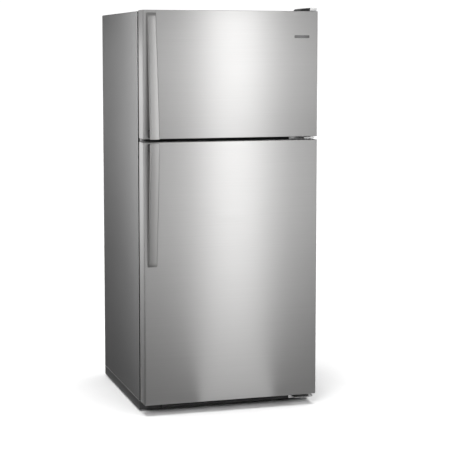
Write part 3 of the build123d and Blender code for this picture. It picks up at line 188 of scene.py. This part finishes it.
materials = {
    "stainless": brushed("stainless", 0.60, (0.8, 0.8, 260), 0.25),
    # the handles' copy of the steel is darker than the doors' (0.47 against 0.60): painted shade on the
    # handles
    "stainless_upright_shaded": brushed("stainless_upright_shaded", 0.47, (260, 260, 0.8), 0.25),
    "grey_paint": finish("grey_paint", grey(0.07), 0.42, vary=0.05, scale=900, depth=0.00012,
                         bump=0.35, Specular_IOR_Level=0.02),
    "black_paint": finish("black_paint", grey(0.022), 0.42, scale=700, depth=0.00008, bump=0.3),
    "galvanised": finish("galvanised", grey(0.46, -0.004), 0.42, vary=0.16, rough_vary=0.08,
                         scale=70, patch=16, Metallic=0.9),
    "zinc": finish("zinc", grey(0.74), 0.30, vary=0.08, scale=160, Metallic=0.9),
    "foam": finish("foam", (0.78, 0.70, 0.48), 0.8, scale=300, depth=0.0004),
    "white_plastic": finish("white_plastic", grey(0.74, 0.003), 0.32, vary=0.02, scale=500,
                            depth=0.00003, bump=0.2, Subsurface_Weight=0.05,
                            Subsurface_Scale=0.004),
    "clear_plastic": finish("clear_plastic", grey(0.93, -0.01), 0.09, vary=0.02,
                            rough_vary=0.03, scale=240, depth=0.00003, bump=0.15,
                            Transmission_Weight=0.9, IOR=1.35),
    "shelf_glass": finish("shelf_glass", (0.86, 0.95, 0.92), 0.03, vary=0.01, rough_vary=0.02,
                          scale=90, depth=0.00001, bump=0.1, Transmission_Weight=0.96,
                          IOR=1.45),
    "white_wire": finish("white_wire", grey(0.76), 0.35, vary=0.03, scale=400),
    "gasket": finish("gasket", grey(0.03), 0.55, vary=0.12, scale=420, depth=0.00008),
    "black_plastic": finish("black_plastic", grey(0.018), 0.45, vary=0.15, scale=900,
                            depth=0.0001, bump=0.4),
    "badge_metal": finish("badge_metal", grey(0.16), 0.35, vary=0.05, stretch=(1, 1, 60),
                          scale=40, Metallic=0.8),
    "aluminium": finish("aluminium", grey(0.72, -0.004), 0.35, vary=0.08, scale=120,
                        Metallic=1.0),
    "black_rubber": finish("black_rubber", grey(0.03), 0.7, vary=0.15, scale=300,
                           depth=0.0001),
    # near-black for the flange strip: painted shade for the gap round the doors
    "gap_shade_black": finish("gap_shade_black", grey(0.004), 0.9, vary=0.15, scale=300,
                         Specular_IOR_Level=0.05),
    "grey_plastic": finish("grey_plastic", grey(0.30), 0.42, vary=0.04, scale=800,
                           depth=0.00008, bump=0.3),
    # pale grey for the hinge cover's cap, which is a painted highlight
    "highlight_pale": finish("highlight_pale", grey(0.62), 0.30, vary=0.04, scale=700,
                           depth=0.00006, bump=0.3),
}


# ---------------------------------------------------------------- mesh making
def skin(rings, closed=True, caps=True, around=False):
    """Faces between rings of points, each ring with as many points as the next."""
    count = len(rings[0])
    verts = [tuple(p) for ring in rings for p in ring]
    faces = []
    last = len(rings) if around else len(rings) - 1
    for r in range(last):
        a, b = r * count, (r + 1) % len(rings) * count
        for i in range(count if closed else count - 1):
            j = (i + 1) % count
            faces.append((a + i, a + j, b + j, b + i))
    if caps and not around:
        faces.append(tuple(range(count)))
        faces.append(tuple(reversed(range((len(rings) - 1) * count, len(rings) * count))))
    return verts, faces


def gather(*parts):
    """Several forms as one."""
    verts, faces = [], []
    for more_verts, more_faces in parts:
        start = len(verts)
        verts += [tuple(v) for v in more_verts]
        faces += [tuple(i + start for i in face) for face in more_faces]
    return verts, faces


def out_of(form):
    """The points and faces of a bmesh, which is freed."""
    form.verts.index_update()
    made = ([tuple(v.co) for v in form.verts], [tuple(v.index for v in f.verts) for f in form.faces])
    form.free()
    return made


def prism(outline, low, high, place, edge=0.0008, segments=2):
    """An outline of (u, v) points from low to high along w, with rounded edges.
    place turns u, v, w into a point."""
    form = bmesh.new()
    base = [form.verts.new(place(u, v, low)) for u, v in outline]
    top = [form.verts.new(place(u, v, high)) for u, v in outline]
    form.faces.new(base)
    form.faces.new(list(reversed(top)))
    for i in range(len(base)):
        j = (i + 1) % len(base)
        form.faces.new((base[i], top[i], top[j], base[j]))
    bmesh.ops.recalc_face_normals(form, faces=form.faces)
    if edge:
        bmesh.ops.bevel(form, geom=form.edges[:], offset=edge, segments=segments, profile=0.5,
                        affect="EDGES", clamp_overlap=True)
    return out_of(form)


def flat(u, v, w):
    """An outline seen from above."""
    return (u, v, w)


def upright(u, v, w):
    """An outline seen from the front."""
    return (u, w, v)


def bar(low, high, edge=0.0008, segments=2):
    """A block between two corners, with rounded edges."""
    outline = [(low[0], low[1]), (high[0], low[1]), (high[0], high[1]), (low[0], high[1])]
    return prism(outline, low[2], high[2], flat, edge, segments)


def arc(centre, radius, start, end, steps):
    """Points on an arc, angles in degrees."""
    return [(centre[0] + radius * math.cos(math.radians(start + (end - start) * k / steps)),
             centre[1] + radius * math.sin(math.radians(start + (end - start) * k / steps)))
            for k in range(steps + 1)]


def round_rect(half_x, low, high, corner, steps=4):
    """A rectangle about u = 0 with round corners, from the lower left, anticlockwise."""
    r = max(corner, 0.0002)
    return (arc((-half_x + r, low + r), r, 180, 270, steps)
            + arc((half_x - r, low + r), r, 270, 360, steps)
            + arc((half_x - r, high - r), r, 0, 90, steps)
            + arc((-half_x + r, high - r), r, 90, 180, steps))


def piece(name, form, body, look, stands_for=(), sharp=32, extra=None):
    """A mesh object from a form. It rides on a body, has a finish and may replace CAD nodes."""
    verts, faces = form
    mesh = bpy.data.meshes.new(name)
    mesh.from_pydata(verts, [], faces)
    made = bmesh.new()
    made.from_mesh(mesh)
    bmesh.ops.remove_doubles(made, verts=made.verts, dist=1e-6)
    bmesh.ops.dissolve_degenerate(made, dist=1e-6, edges=made.edges)
    bmesh.ops.recalc_face_normals(made, faces=made.faces)
    made.to_mesh(mesh)
    made.free()
    mesh.shade_smooth()
    mesh.set_sharp_from_angle(angle=math.radians(sharp))
    thing = bpy.data.objects.new(name, mesh)
    scene.collection.objects.link(thing)
    mesh.materials.append(materials[look])
    if extra:
        extra(thing)
    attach(thing, body)
    if stands_for:
        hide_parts(*stands_for)
    return thing


def thicken(depth):
    """Gives an open shell a wall, inwards."""
    def add(thing):
        wall = thing.modifiers.new("wall", "SOLIDIFY")
        wall.thickness = depth
        wall.offset = -1
    return add


def lay_grain(thing, along_z=False):
    """UVs in metres, so that U follows the brushing: level, or upright for along_z."""
    mesh = thing.data
    layer = mesh.uv_layers.new(name="grain")
    for face in mesh.polygons:
        for loop in face.loop_indices:
            point = mesh.vertices[mesh.loops[loop].vertex_index].co
            level = point.x if abs(face.normal.x) < 0.7 else point.y
            layer.data[loop].uv = (point.z, level) if along_z else (level, point.z)


def dressed(thing, extra=None, along_z=False):
    lay_grain(thing, along_z)
    if extra:
        extra(thing)


# ---------------------------------------------------------------- doors
DOOR_CORNER = 6.0 * MM
DOOR_EDGE = 1.6 * MM       # folded edge of the steel, at top and bottom
DOOR_HEM = 5.0 * MM
STEEL = 0.8 * MM
BACK_RETURN = 12.0 * MM


def door_path(inset, steps=5):
    """The skin seen from above, drawn in by inset: open behind, with returns at both sides."""
    x = half - inset
    front = y_door + inset
    back = y_door_back - min(inset, 1.5 * MM)
    r = max(DOOR_CORNER - inset, 0.5 * MM)
    rb = 1.2 * MM
    right = (arc((x - r, front + r), r, 270, 360, steps)
             + arc((x - rb, back - rb), rb, 0, 90, 3)
             + [(half - BACK_RETURN, back)])
    left = [(-u, v) for u, v in reversed(right)]
    return left + right


def door_shell(low, high):
    """The folded steel of a door, hemmed inwards at its top and bottom."""
    levels = [(DOOR_HEM, low)]
    for k in range(5):
        a = math.radians(90 * k / 4)
        levels.append((DOOR_EDGE * (1 - math.sin(a)), low + DOOR_EDGE * (1 - math.cos(a))))
    levels += [(inset, low + high - z) for inset, z in reversed(levels)]
    rings = [[(x, y, z) for x, y in door_path(inset)] for inset, z in levels]
    return skin(rings, closed=False, caps=False)


CAP_SUNK = 1.2 * MM        # rim below the folded edge
CAP_TRAY = 3.0 * MM
CAP_DEPTH = 17.0 * MM
CAP_RIM = 6.0 * MM
CAP_SLOPE = 1.5 * MM
CAP_BACK = 1.4 * MM
CAP_RIBS = 9


def door_end_cap(z_face, direction):
    """The moulded end of a door: a tray with a raised rim and cross ribs."""
    top = z_face - direction * CAP_SUNK
    deep = top - direction * CAP_TRAY
    bottom = top - direction * CAP_DEPTH
    lip = STEEL + 0.3 * MM
    x, front, back = half - lip, y_door + lip, y_door_back - 2.4 * MM
    levels = ((lip, bottom), (lip, top), (lip + CAP_RIM, top), (lip + CAP_RIM + CAP_SLOPE, deep))
    rings = []
    for inset, z in levels:
        r = max(DOOR_CORNER - inset, 0.6 * MM)
        ring = (arc((-half + inset + r, y_door + inset + r), r, 180, 270, 4)
                + arc((half - inset - r, y_door + inset + r), r, 270, 360, 4)
                + [(half - inset, y_door_back - inset - CAP_BACK),
                   (-half + inset, y_door_back - inset - CAP_BACK)])
        rings.append([(u, v, z) for u, v in ring])
    tray = skin(rings)
    ribs = []
    low, high = sorted((deep - direction * 1 * MM, top - direction * 0.5 * MM))
    for k in range(CAP_RIBS):
        u = (k - CAP_RIBS // 2) * (x - 30 * MM) / 4.6
        ribs.append(bar((u - 1 * MM, front + 7 * MM, low), (u + 1 * MM, back - 7 * MM, high),
                        0.3 * MM, 1))
    return gather(tray, *ribs)


for door in ("freezer_door", "fridge_door"):
    low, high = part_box(f"{door}_skin")
    piece(f"{door}_steel", door_shell(low.z, high.z), door, "stainless", (f"{door}_skin",), 28,
          lambda thing: dressed(thing, thicken(STEEL)))
    piece(f"{door}_end_caps", gather(door_end_cap(high.z, 1), door_end_cap(low.z, -1)), door,
          "grey_plastic", (f"{door}_caps",))

# ---------------------------------------------------------------- handles
HANDLE_PROUD = 60.0 * MM
HANDLE_FLUSH = 10.0 * MM
HANDLE_BOW = 4.5 * MM
HANDLE_THICK = 13.0 * MM
HANDLE_ROUND = 3.6 * MM
HANDLE_BACK_ROUND = 1.6 * MM
HANDLE_END = 1.2 * MM      # rounding of the bar's two ends
HANDLE_STEPS = 36
POST_ROUND = 4.0 * MM
POST_WAIST = 1.6 * MM
POST_STEPS = 6


def circle_through(a, b, c, steps):
    """Points along the arc from a through b to c, in a plane."""
    (ax, ay), (bx, by), (cx, cy) = a, b, c
    d = 2 * (ax * (by - cy) + bx * (cy - ay) + cx * (ay - by))
    ux = ((ax * ax + ay * ay) * (by - cy) + (bx * bx + by * by) * (cy - ay)
          + (cx * cx + cy * cy) * (ay - by)) / d
    uy = ((ax * ax + ay * ay) * (cx - bx) + (bx * bx + by * by) * (ax - cx)
          + (cx * cx + cy * cy) * (bx - ax)) / d
    radius = math.hypot(ax - ux, ay - uy)
    start, end = math.atan2(ay - uy, ax - ux), math.atan2(cy - uy, cx - ux)
    if end - start > math.pi:
        end -= 2 * math.pi
    if start - end > math.pi:
        end += 2 * math.pi
    return [(ux + radius * math.cos(start + (end - start) * k / steps),
             uy + radius * math.sin(start + (end - start) * k / steps))
            for k in range(steps + 1)]


def handle_form(node, open_low):
    """A bowed steel bar: flush with the door at one end and proud of it at the other."""
    low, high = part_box(node)
    z_open, z_flush = (low.z, high.z) if open_low else (high.z, low.z)
    z_middle = (z_open + z_flush) / 2
    mean = (HANDLE_FLUSH + HANDLE_PROUD) / 2 + HANDLE_BOW
    outer = circle_through((y_door - HANDLE_FLUSH, z_flush), (y_door - mean, z_middle),
                           (y_door - HANDLE_PROUD, z_open), HANDLE_STEPS)
    inner = circle_through((y_door - 0.2 * MM, z_flush),
                           (y_door - mean + HANDLE_THICK - 1 * MM, z_middle),
                           (y_door - HANDLE_PROUD + HANDLE_THICK, z_open), HANDLE_STEPS)
    rings = []
    r, rb = HANDLE_ROUND, HANDLE_BACK_ROUND
    for k in range(HANDLE_STEPS + 1):
        pull = HANDLE_END if k in (0, HANDLE_STEPS) else 0.0
        (yo, z1), (yi, z2) = outer[k], inner[k]
        x0, x1 = low.x + pull, high.x - pull
        front, back = yo + pull, yi - pull * 0.5
        ring = (arc((x0 + r, front + r), r, 180, 270, 4) + arc((x1 - r, front + r), r, 270, 360, 4)
                + arc((x1 - rb, back - rb), rb, 0, 90, 2)
                + arc((x0 + rb, back - rb), rb, 90, 180, 2))
        rings.append([(u, v, z1 + (z2 - z1) * (v - front) / (back - front)) for u, v in ring])
    shift = 1.0 * MM if z_flush > z_open else -1.0 * MM
    rings.insert(1, [(u, v, z - shift) for u, v, z in grown(rings[0], HANDLE_END, low, high)])
    rings.insert(len(rings) - 1,
                 [(u, v, z + shift) for u, v, z in grown(rings[-1], HANDLE_END, low, high)])
    return skin(rings)


def grown(ring, size, low, high):
    """A ring of points moved out from its middle by about size, within the bar's width."""
    middle = sum((Vector(p) for p in ring), Vector()) / len(ring)
    out = []
    for p in ring:
        u = p[0] + math.copysign(size, p[0] - middle.x)
        v = p[1] + math.copysign(size * 0.75, p[1] - middle.y)
        out.append((min(max(u, low.x), high.x), v, p[2]))
    return out


def post_form(node):
    """The moulded post under a handle's open end, waisted and with round edges."""
    low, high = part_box(node)
    middle, half_width = (low.x + high.x) / 2, (high.x - low.x) / 2
    rings = []
    for k in range(POST_STEPS + 1):
        t = k / POST_STEPS
        y = low.y + 2 * MM + (high.y - low.y - 2 * MM) * t
        waist = POST_WAIST * math.sin(math.pi * t)
        rings.append([(middle + u, y, v) for u, v in
                      round_rect(half_width - waist, low.z + waist, high.z - waist, POST_ROUND)])
    return skin(rings)


for door, open_low in (("freezer", True), ("fridge", False)):
    piece(f"{door}_pull", handle_form(f"{door}_handle", open_low), f"{door}_door",
          "stainless_upright_shaded", (f"{door}_handle",), 40,
          lambda thing: dressed(thing, along_z=True))
    piece(f"{door}_pull_post", post_form(f"{door}_handle_post"), f"{door}_door",
          "black_plastic", (f"{door}_handle_post",), 50)

low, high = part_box("badge")
middle = (low + high) / 2
piece("door_badge", prism([(middle.x + u, v) for u, v in
                           round_rect((high.x - low.x) / 2, low.z, high.z, 2 * MM, 5)],
                          low.y, high.y, upright, 0.3 * MM), "freezer_door", "badge_metal",
      ("badge",))

# ---------------------------------------------------------------- cabinet shell
SHELL_CORNER = 5.0 * MM
SHELL_STEEL = 1.0 * MM
BACK_FLANGE = 14.0 * MM
SEAM_LOW, SEAM_HIGH = 0.2 * MM, 1.6 * MM
FRONT_ROLL = 2.2 * MM
FLANGE = 38.0 * MM
seam_z = wrapper_low.z


def shell_path(inset, bottom, steps=5):
    """Up the left side, over the top and down the right, drawn in by inset."""
    r = max(SHELL_CORNER - inset, 0.3 * MM)
    x, z = half - inset, wrapper_high.z - inset
    return ([(-x, bottom)] + arc((-x + r, z - r), r, 180, 90, steps)
            + arc((x - r, z - r), r, 90, 0, steps) + [(x, bottom)])


profile = [(FLANGE, y_front), (FRONT_ROLL, y_front)]
for k in range(1, 6):
    a = math.radians(90 * k / 5)
    profile.append((FRONT_ROLL * (1 - math.sin(a)), y_front + FRONT_ROLL * (1 - math.cos(a))))
profile += [(inset, y_front + y_back - y) for inset, y in reversed(profile[1:])]
profile.append((BACK_FLANGE, y_back))
rings = [[(u, y, v) for u, v in shell_path(inset, seam_z + 1.8 * MM)] for inset, y in profile]
piece("cabinet_shell", skin(rings, closed=False, caps=False), "cabinet", "grey_paint",
      ("cabinet_wrapper",), 30, thicken(SHELL_STEEL))
for side, name in ((-1, "left"), (1, "right")):
    x0, x1 = sorted((side * (half - SHELL_STEEL), side * half))
    piece(f"side_seam_{name}", bar((x0, y_front + 1 * MM, seam_z + SEAM_LOW),
                                   (x1, y_back - 3 * MM, seam_z + SEAM_HIGH), 0.4 * MM),
          "cabinet", "zinc")

# a black strip let into the front flange, outside the gaskets: painted shade, standing in for the
# shadow in the gap between the doors and the cabinet
STRIP_OUT, STRIP_IN = 0.7 * MM, 7.0 * MM
STRIP_PROUD, STRIP_DEEP = 0.05 * MM, 0.8 * MM
section = ((STRIP_OUT, y_front - STRIP_PROUD), (STRIP_IN, y_front - STRIP_PROUD),
           (STRIP_IN, y_front + STRIP_DEEP), (STRIP_OUT, y_front + STRIP_DEEP))
rings = [[(u, y, v) for u, v in shell_path(inset, seam_z + 2 * MM)] for inset, y in section]
verts, faces = skin(rings, closed=False, caps=False, around=True)
count = len(rings[0])
faces += [tuple(k * count for k in range(4)), tuple(k * count + count - 1 for k in range(4))]
piece("shade_strip", (verts, faces), "cabinet", "gap_shade_black")

# the back panel has pressed beads, so that it doesn't drum
low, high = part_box("back_panel")
BEADS = 7
BEAD_SHAPE = ((-11, 0.0), (-7, 1.6), (0, 2.0), (7, 1.6), (11, 0.0))    # across, and pressed in
BEAD_END, BEAD_RUNOUT = 60 * MM, 6 * MM
pressed_at = [(low.x, 0.0)]
for k in range(BEADS):
    centre = low.x + (high.x - low.x) * (k + 1) / (BEADS + 1)
    pressed_at += [(centre + across * MM, deep * MM) for across, deep in BEAD_SHAPE]
pressed_at.append((high.x, 0.0))
heights = [(low.z, 0), (low.z + BEAD_END, 0), (low.z + BEAD_END + BEAD_RUNOUT, 1),
           (high.z - BEAD_END - BEAD_RUNOUT, 1), (high.z - BEAD_END, 0), (high.z, 0)]
rings = [[(x, high.y - 0.2 * MM - deep * share, z) for z, share in heights]
         for x, deep in pressed_at]
piece("back_sheet", skin(rings, closed=False, caps=False), "cabinet", "galvanised",
      ("back_panel",), 20, thicken(0.6 * MM))


# ---------------------------------------------------------------- gaskets
# across from the outer edge, and back from the door, in millimetres
GASKET_BELLOWS = (
    (1.5, 0.0), (1.5, 2.0), (0.6, 3.2), (0.2, 4.6), (1.2, 6.2), (3.0, 7.6), (1.2, 9.0),
    (0.2, 10.6), (0.0, 12.0), (0.0, 16.2), (0.8, 17.2), (1.8, 17.5), (16.2, 17.5), (17.2, 17.2),
    (18.0, 16.2), (18.0, 12.0), (16.4, 10.6), (14.2, 9.0), (13.0, 7.4), (15.4, 5.4),
    (16.6, 3.6), (16.5, 2.0), (16.5, 0.0))


GASKET_CORNER = 9 * MM


def gasket_form(node):
    """Magnetic gasket: a bulb on a folding bellows, swept round the door."""
    low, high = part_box(node)
    rings = []
    for inset, depth in GASKET_BELLOWS:
        d = inset * MM
        rings.append([(u, low.y + depth * MM, v) for u, v in
                      round_rect(high.x - d, low.z + d, high.z - d, GASKET_CORNER - d * 0.35)])
    return skin(rings, closed=True, caps=False, around=True)


for door in ("freezer_door", "fridge_door"):
    piece(f"{door}_seal", gasket_form(f"{door}_gasket"), door, "gasket", (f"{door}_gasket",), 50)

# ---------------------------------------------------------------- hinge cover
low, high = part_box("top_hinge_cover")
COVER_SPLIT = 0.62         # the dark part's share of the width
COVER_JOINT = 0.6 * MM
split = low.x + (high.x - low.x) * COVER_SPLIT
cover_left = low.x + 34 * MM
dark_side = [(cover_left + 14 * MM, low.y), (split, low.y), (split, high.y),
             (cover_left, high.y), (cover_left, y_front + 4 * MM),
             (cover_left + 14 * MM, y_front - 22 * MM)]
# the pale right part of the cover is a painted highlight: the light on the cover's top, drawn as a
# paler piece
highlight_side = [(split + COVER_JOINT, low.y), (high.x, low.y), (high.x, high.y - 22 * MM),
              (split + COVER_JOINT, high.y - 10 * MM)]


def cover_form(outline, z_low, z_high, lean, edge):
    """A shallow cover whose left flank leans in by lean towards its top."""
    form = bmesh.new()
    left = min(u for u, v in outline)
    right = max(u for u, v in outline)
    rings = []
    for z, share in ((z_low, 0.0), (z_high, 1.0)):
        rings.append([form.verts.new((u + lean * share * (right - u) / (right - left), v, z))
                      for u, v in outline])
    form.faces.new(rings[0])
    form.faces.new(list(reversed(rings[1])))
    for i in range(len(outline)):
        j = (i + 1) % len(outline)
        form.faces.new((rings[0][i], rings[1][i], rings[1][j], rings[0][j]))
    bmesh.ops.recalc_face_normals(form, faces=form.faces)
    bmesh.ops.bevel(form, geom=form.edges[:], offset=edge, segments=3, profile=0.5,
                    affect="EDGES", clamp_overlap=True)
    return out_of(form)


freezer_top = freezer_skin_high.z
piece("hinge_cover", cover_form(dark_side, freezer_top + 1 * MM, high.z - 1.5 * MM, 12 * MM,
                                1.6 * MM), "cabinet", "black_plastic", ("top_hinge_cover",))
# pale cap: painted highlight on the hinge cover's top
piece("hinge_cover_highlight", cover_form(highlight_side, freezer_top + 1 * MM, high.z, 1 * MM, 2.4 * MM),
      "cabinet", "highlight_pale")

# ---------------------------------------------------------------- carried-over CAD nodes
# the width of the rounded edges of each node, in millimetres
SOFTEN = {"base_frame": 0.4, "toe_grille": 0.5, "center_hinge": 0.5, "bottom_hinge": 0.5,
          "top_hinge": 0.5, "machine_cover": 0.3, "compressor": 0.6, "control_housing": 0.4,
          "upper_shelf_frame": 0.6, "lower_shelf_frame": 0.6, "crisper_frame": 0.6,
          "evaporator_cover": 0.4, "freezer_liner": 0.8, "fridge_liner": 0.8,
          "freezer_door_liner": 0.8, "fridge_door_liner": 0.8, "mullion_bar": 0.3}
FOAM_DRAWN_IN = -3 * MM

for part in frame["record"]["subparts"]:
    node = frame["nodes"][part["node"]]
    node.data.materials.clear()
    node.data.materials.append(materials[part["material_slot"]])
    if part["node"] in SOFTEN or part["node"] == "cabinet_foam":
        weld = node.modifiers.new("weld", "WELD")
        weld.merge_threshold = 0.01 * MM
    if part["node"] == "cabinet_foam":
        # the foam draws in, to leave room for the back panel's beads
        shrink = node.modifiers.new("shrink", "DISPLACE")
        shrink.mid_level = 0.0
        shrink.strength = FOAM_DRAWN_IN
    if part["node"] in SOFTEN:
        bevel = node.modifiers.new("bevel", "BEVEL")
        bevel.width = SOFTEN[part["node"]] * MM
        bevel.segments = 2
        bevel.limit_method = "ANGLE"
        bevel.angle_limit = math.radians(40)
        bevel.use_clamp_overlap = True
        weighted = node.modifiers.new("weighted", "WEIGHTED_NORMAL")
        weighted.keep_sharp = False


# ---------------------------------------------------------------- studio
def link(name, data):
    thing = bpy.data.objects.new(name, data)
    scene.collection.objects.link(thing)
    return thing


def glowing(name):
    """Light given off as strongly as the mesh's own glow attribute says."""
    material = bpy.data.materials.new(name)
    material.use_nodes = True
    nodes, links, shader = socket_links(material)
    nodes.remove(shader)
    light = nodes.new("ShaderNodeEmission")
    glow = nodes.new("ShaderNodeAttribute")
    glow.attribute_name = "glow"
    links.new(glow.outputs["Fac"], light.inputs["Strength"])
    links.new(light.outputs[0], nodes["Material Output"].inputs["Surface"])
    return material


def card(name, corners, first, last):
    """A studio card that only reflections see. Its glow goes from first, along the edge
    between its first two corners, to last along the opposite edge."""
    mesh = bpy.data.meshes.new(name)
    mesh.from_pydata(corners, [], [(0, 1, 2, 3)])
    glow = mesh.attributes.new("glow", "FLOAT", "POINT")
    glow.data.foreach_set("value", [first, first, last, last])
    thing = link(name, mesh)
    mesh.materials.append(glowing(name))
    thing.visible_camera = False
    thing.visible_diffuse = False
    thing.visible_shadow = False
    thing.visible_transmission = False


def lamp(name, kind, place, aim, power, size=None):
    light = bpy.data.lights.new(name, kind)
    light.energy = power
    if kind == "AREA":
        light.shape = "RECTANGLE"
        light.size, light.size_y = size
    else:
        light.angle = size
    thing = link(name, light)
    thing.location = place
    thing.rotation_mode = "QUATERNION"
    thing.rotation_quaternion = (Vector(aim) - Vector(place)).to_track_quat("-Z", "Y")
    thing.visible_glossy = False
    thing.visible_camera = False
    return thing


REACH = 60.0
floor_mesh = bpy.data.meshes.new("floor")
floor_mesh.from_pydata([(-REACH, -REACH, 0), (REACH, -REACH, 0), (REACH, REACH, 0),
                        (-REACH, REACH, 0)], [], [(0, 1, 2, 3)])
floor = link("floor", floor_mesh)
floor_mesh.materials.append(finish("floor", grey(0.90), 0.6, vary=0.01, scale=8, depth=0.0001,
                                   bump=0.1, Specular_IOR_Level=0.2))

# the white surround is seen by the camera alone; the world behind it is the fill light
dome_form = bmesh.new()
bmesh.ops.create_uvsphere(dome_form, u_segments=32, v_segments=16, radius=REACH * 0.98)
dome_mesh = bpy.data.meshes.new("surround")
dome_form.to_mesh(dome_mesh)
dome_form.free()
white = dome_mesh.attributes.new("glow", "FLOAT", "POINT")
white.data.foreach_set("value", [1.05] * len(dome_mesh.vertices))
surround = link("surround", dome_mesh)
dome_mesh.materials.append(glowing("surround"))
surround.visible_diffuse = False
surround.visible_glossy = False
surround.visible_transmission = False
surround.visible_shadow = False

world = bpy.data.worlds.new("studio")
scene.world = world
world.use_nodes = True
world.node_tree.nodes["Background"].inputs["Color"].default_value = (1, 1, 1, 1)
world.node_tree.nodes["Background"].inputs["Strength"].default_value = 0.36

# cards in front of the doors: a grey surround, darker at the floor, and one upright strip
FRONT_Y = -4.4
STRIP_Y = -2.9
BACK_Y = 5.0
LEFT_X, RIGHT_X = -6.0, 6.0
LIFT = 0.003               # of the cards that lie on the floor
STRIP_LIFT = 0.006
CLEAR = 0.01               # from the refrigerator to the cards that lie beside it


def wall_card(name, left, right, y, low, high, first, last):
    """An upright card facing the doors. Its glow goes from first at its foot to last."""
    card(name, [(left, y, low), (right, y, low), (right, y, high), (left, y, high)], first, last)


def floor_card(name, left, right, start, end, first, last):
    """A card on the floor. Its glow goes from first, at y = start, to last."""
    card(name, [(left, start, LIFT), (right, start, LIFT), (right, end, LIFT), (left, end, LIFT)],
         first, last)


wall_card("card_front", -5, RIGHT_X, FRONT_Y, -0.02, 2.2, 0.48, 0.84)
floor_card("card_floor", -5, RIGHT_X, y_door - CLEAR, FRONT_Y, 0.19, 0.50)
wall_card("card_strip", 0.52, 1.14, STRIP_Y, -0.01, 2.6, 1.75, 3.0)
card("card_floor_strip", [(-0.12, y_door - 0.05, STRIP_LIFT), (0.20, y_door - 0.05, STRIP_LIFT),
                          (1.16, STRIP_Y, STRIP_LIFT), (0.42, STRIP_Y, STRIP_LIFT)], 0.52, 1.50)
# cards to the left, behind and to the right, for the sides of the cabinet and of the doors
wall_card("card_left", LEFT_X, 0.6, BACK_Y, -0.02, 1.6, 0.70, 1.15)
floor_card("card_left_floor", LEFT_X, -half - CLEAR, -1.5, BACK_Y, 0.02, 0.60)
floor_card("card_right_floor", half + CLEAR, RIGHT_X, y_door, BACK_Y, 0.12, 0.40)

# a broad light from above whitens the floor, and a tall lamp grades the cabinet's left side
lamp("light_above", "SUN", (0.0, 0.0, 5.0), (0, 0.25, 0), 3.1, math.radians(40))
key = lamp("light_key", "AREA", (-0.92, -0.95, 1.05), (-0.3, -0.2, 0.85), 80, (0.4, 2.0))
lit_by_key = bpy.data.collections.new("lit_by_key")
for name in ("cabinet_shell", "side_seam_left", "side_seam_right"):
    lit_by_key.objects.link(bpy.data.objects[name])
key.light_linking.receiver_collection = lit_by_key
lamp("light_fill", "AREA", (-1.6, -3.2, 2.2), (0, 0, 0.9), 70, (1.6, 1.6))
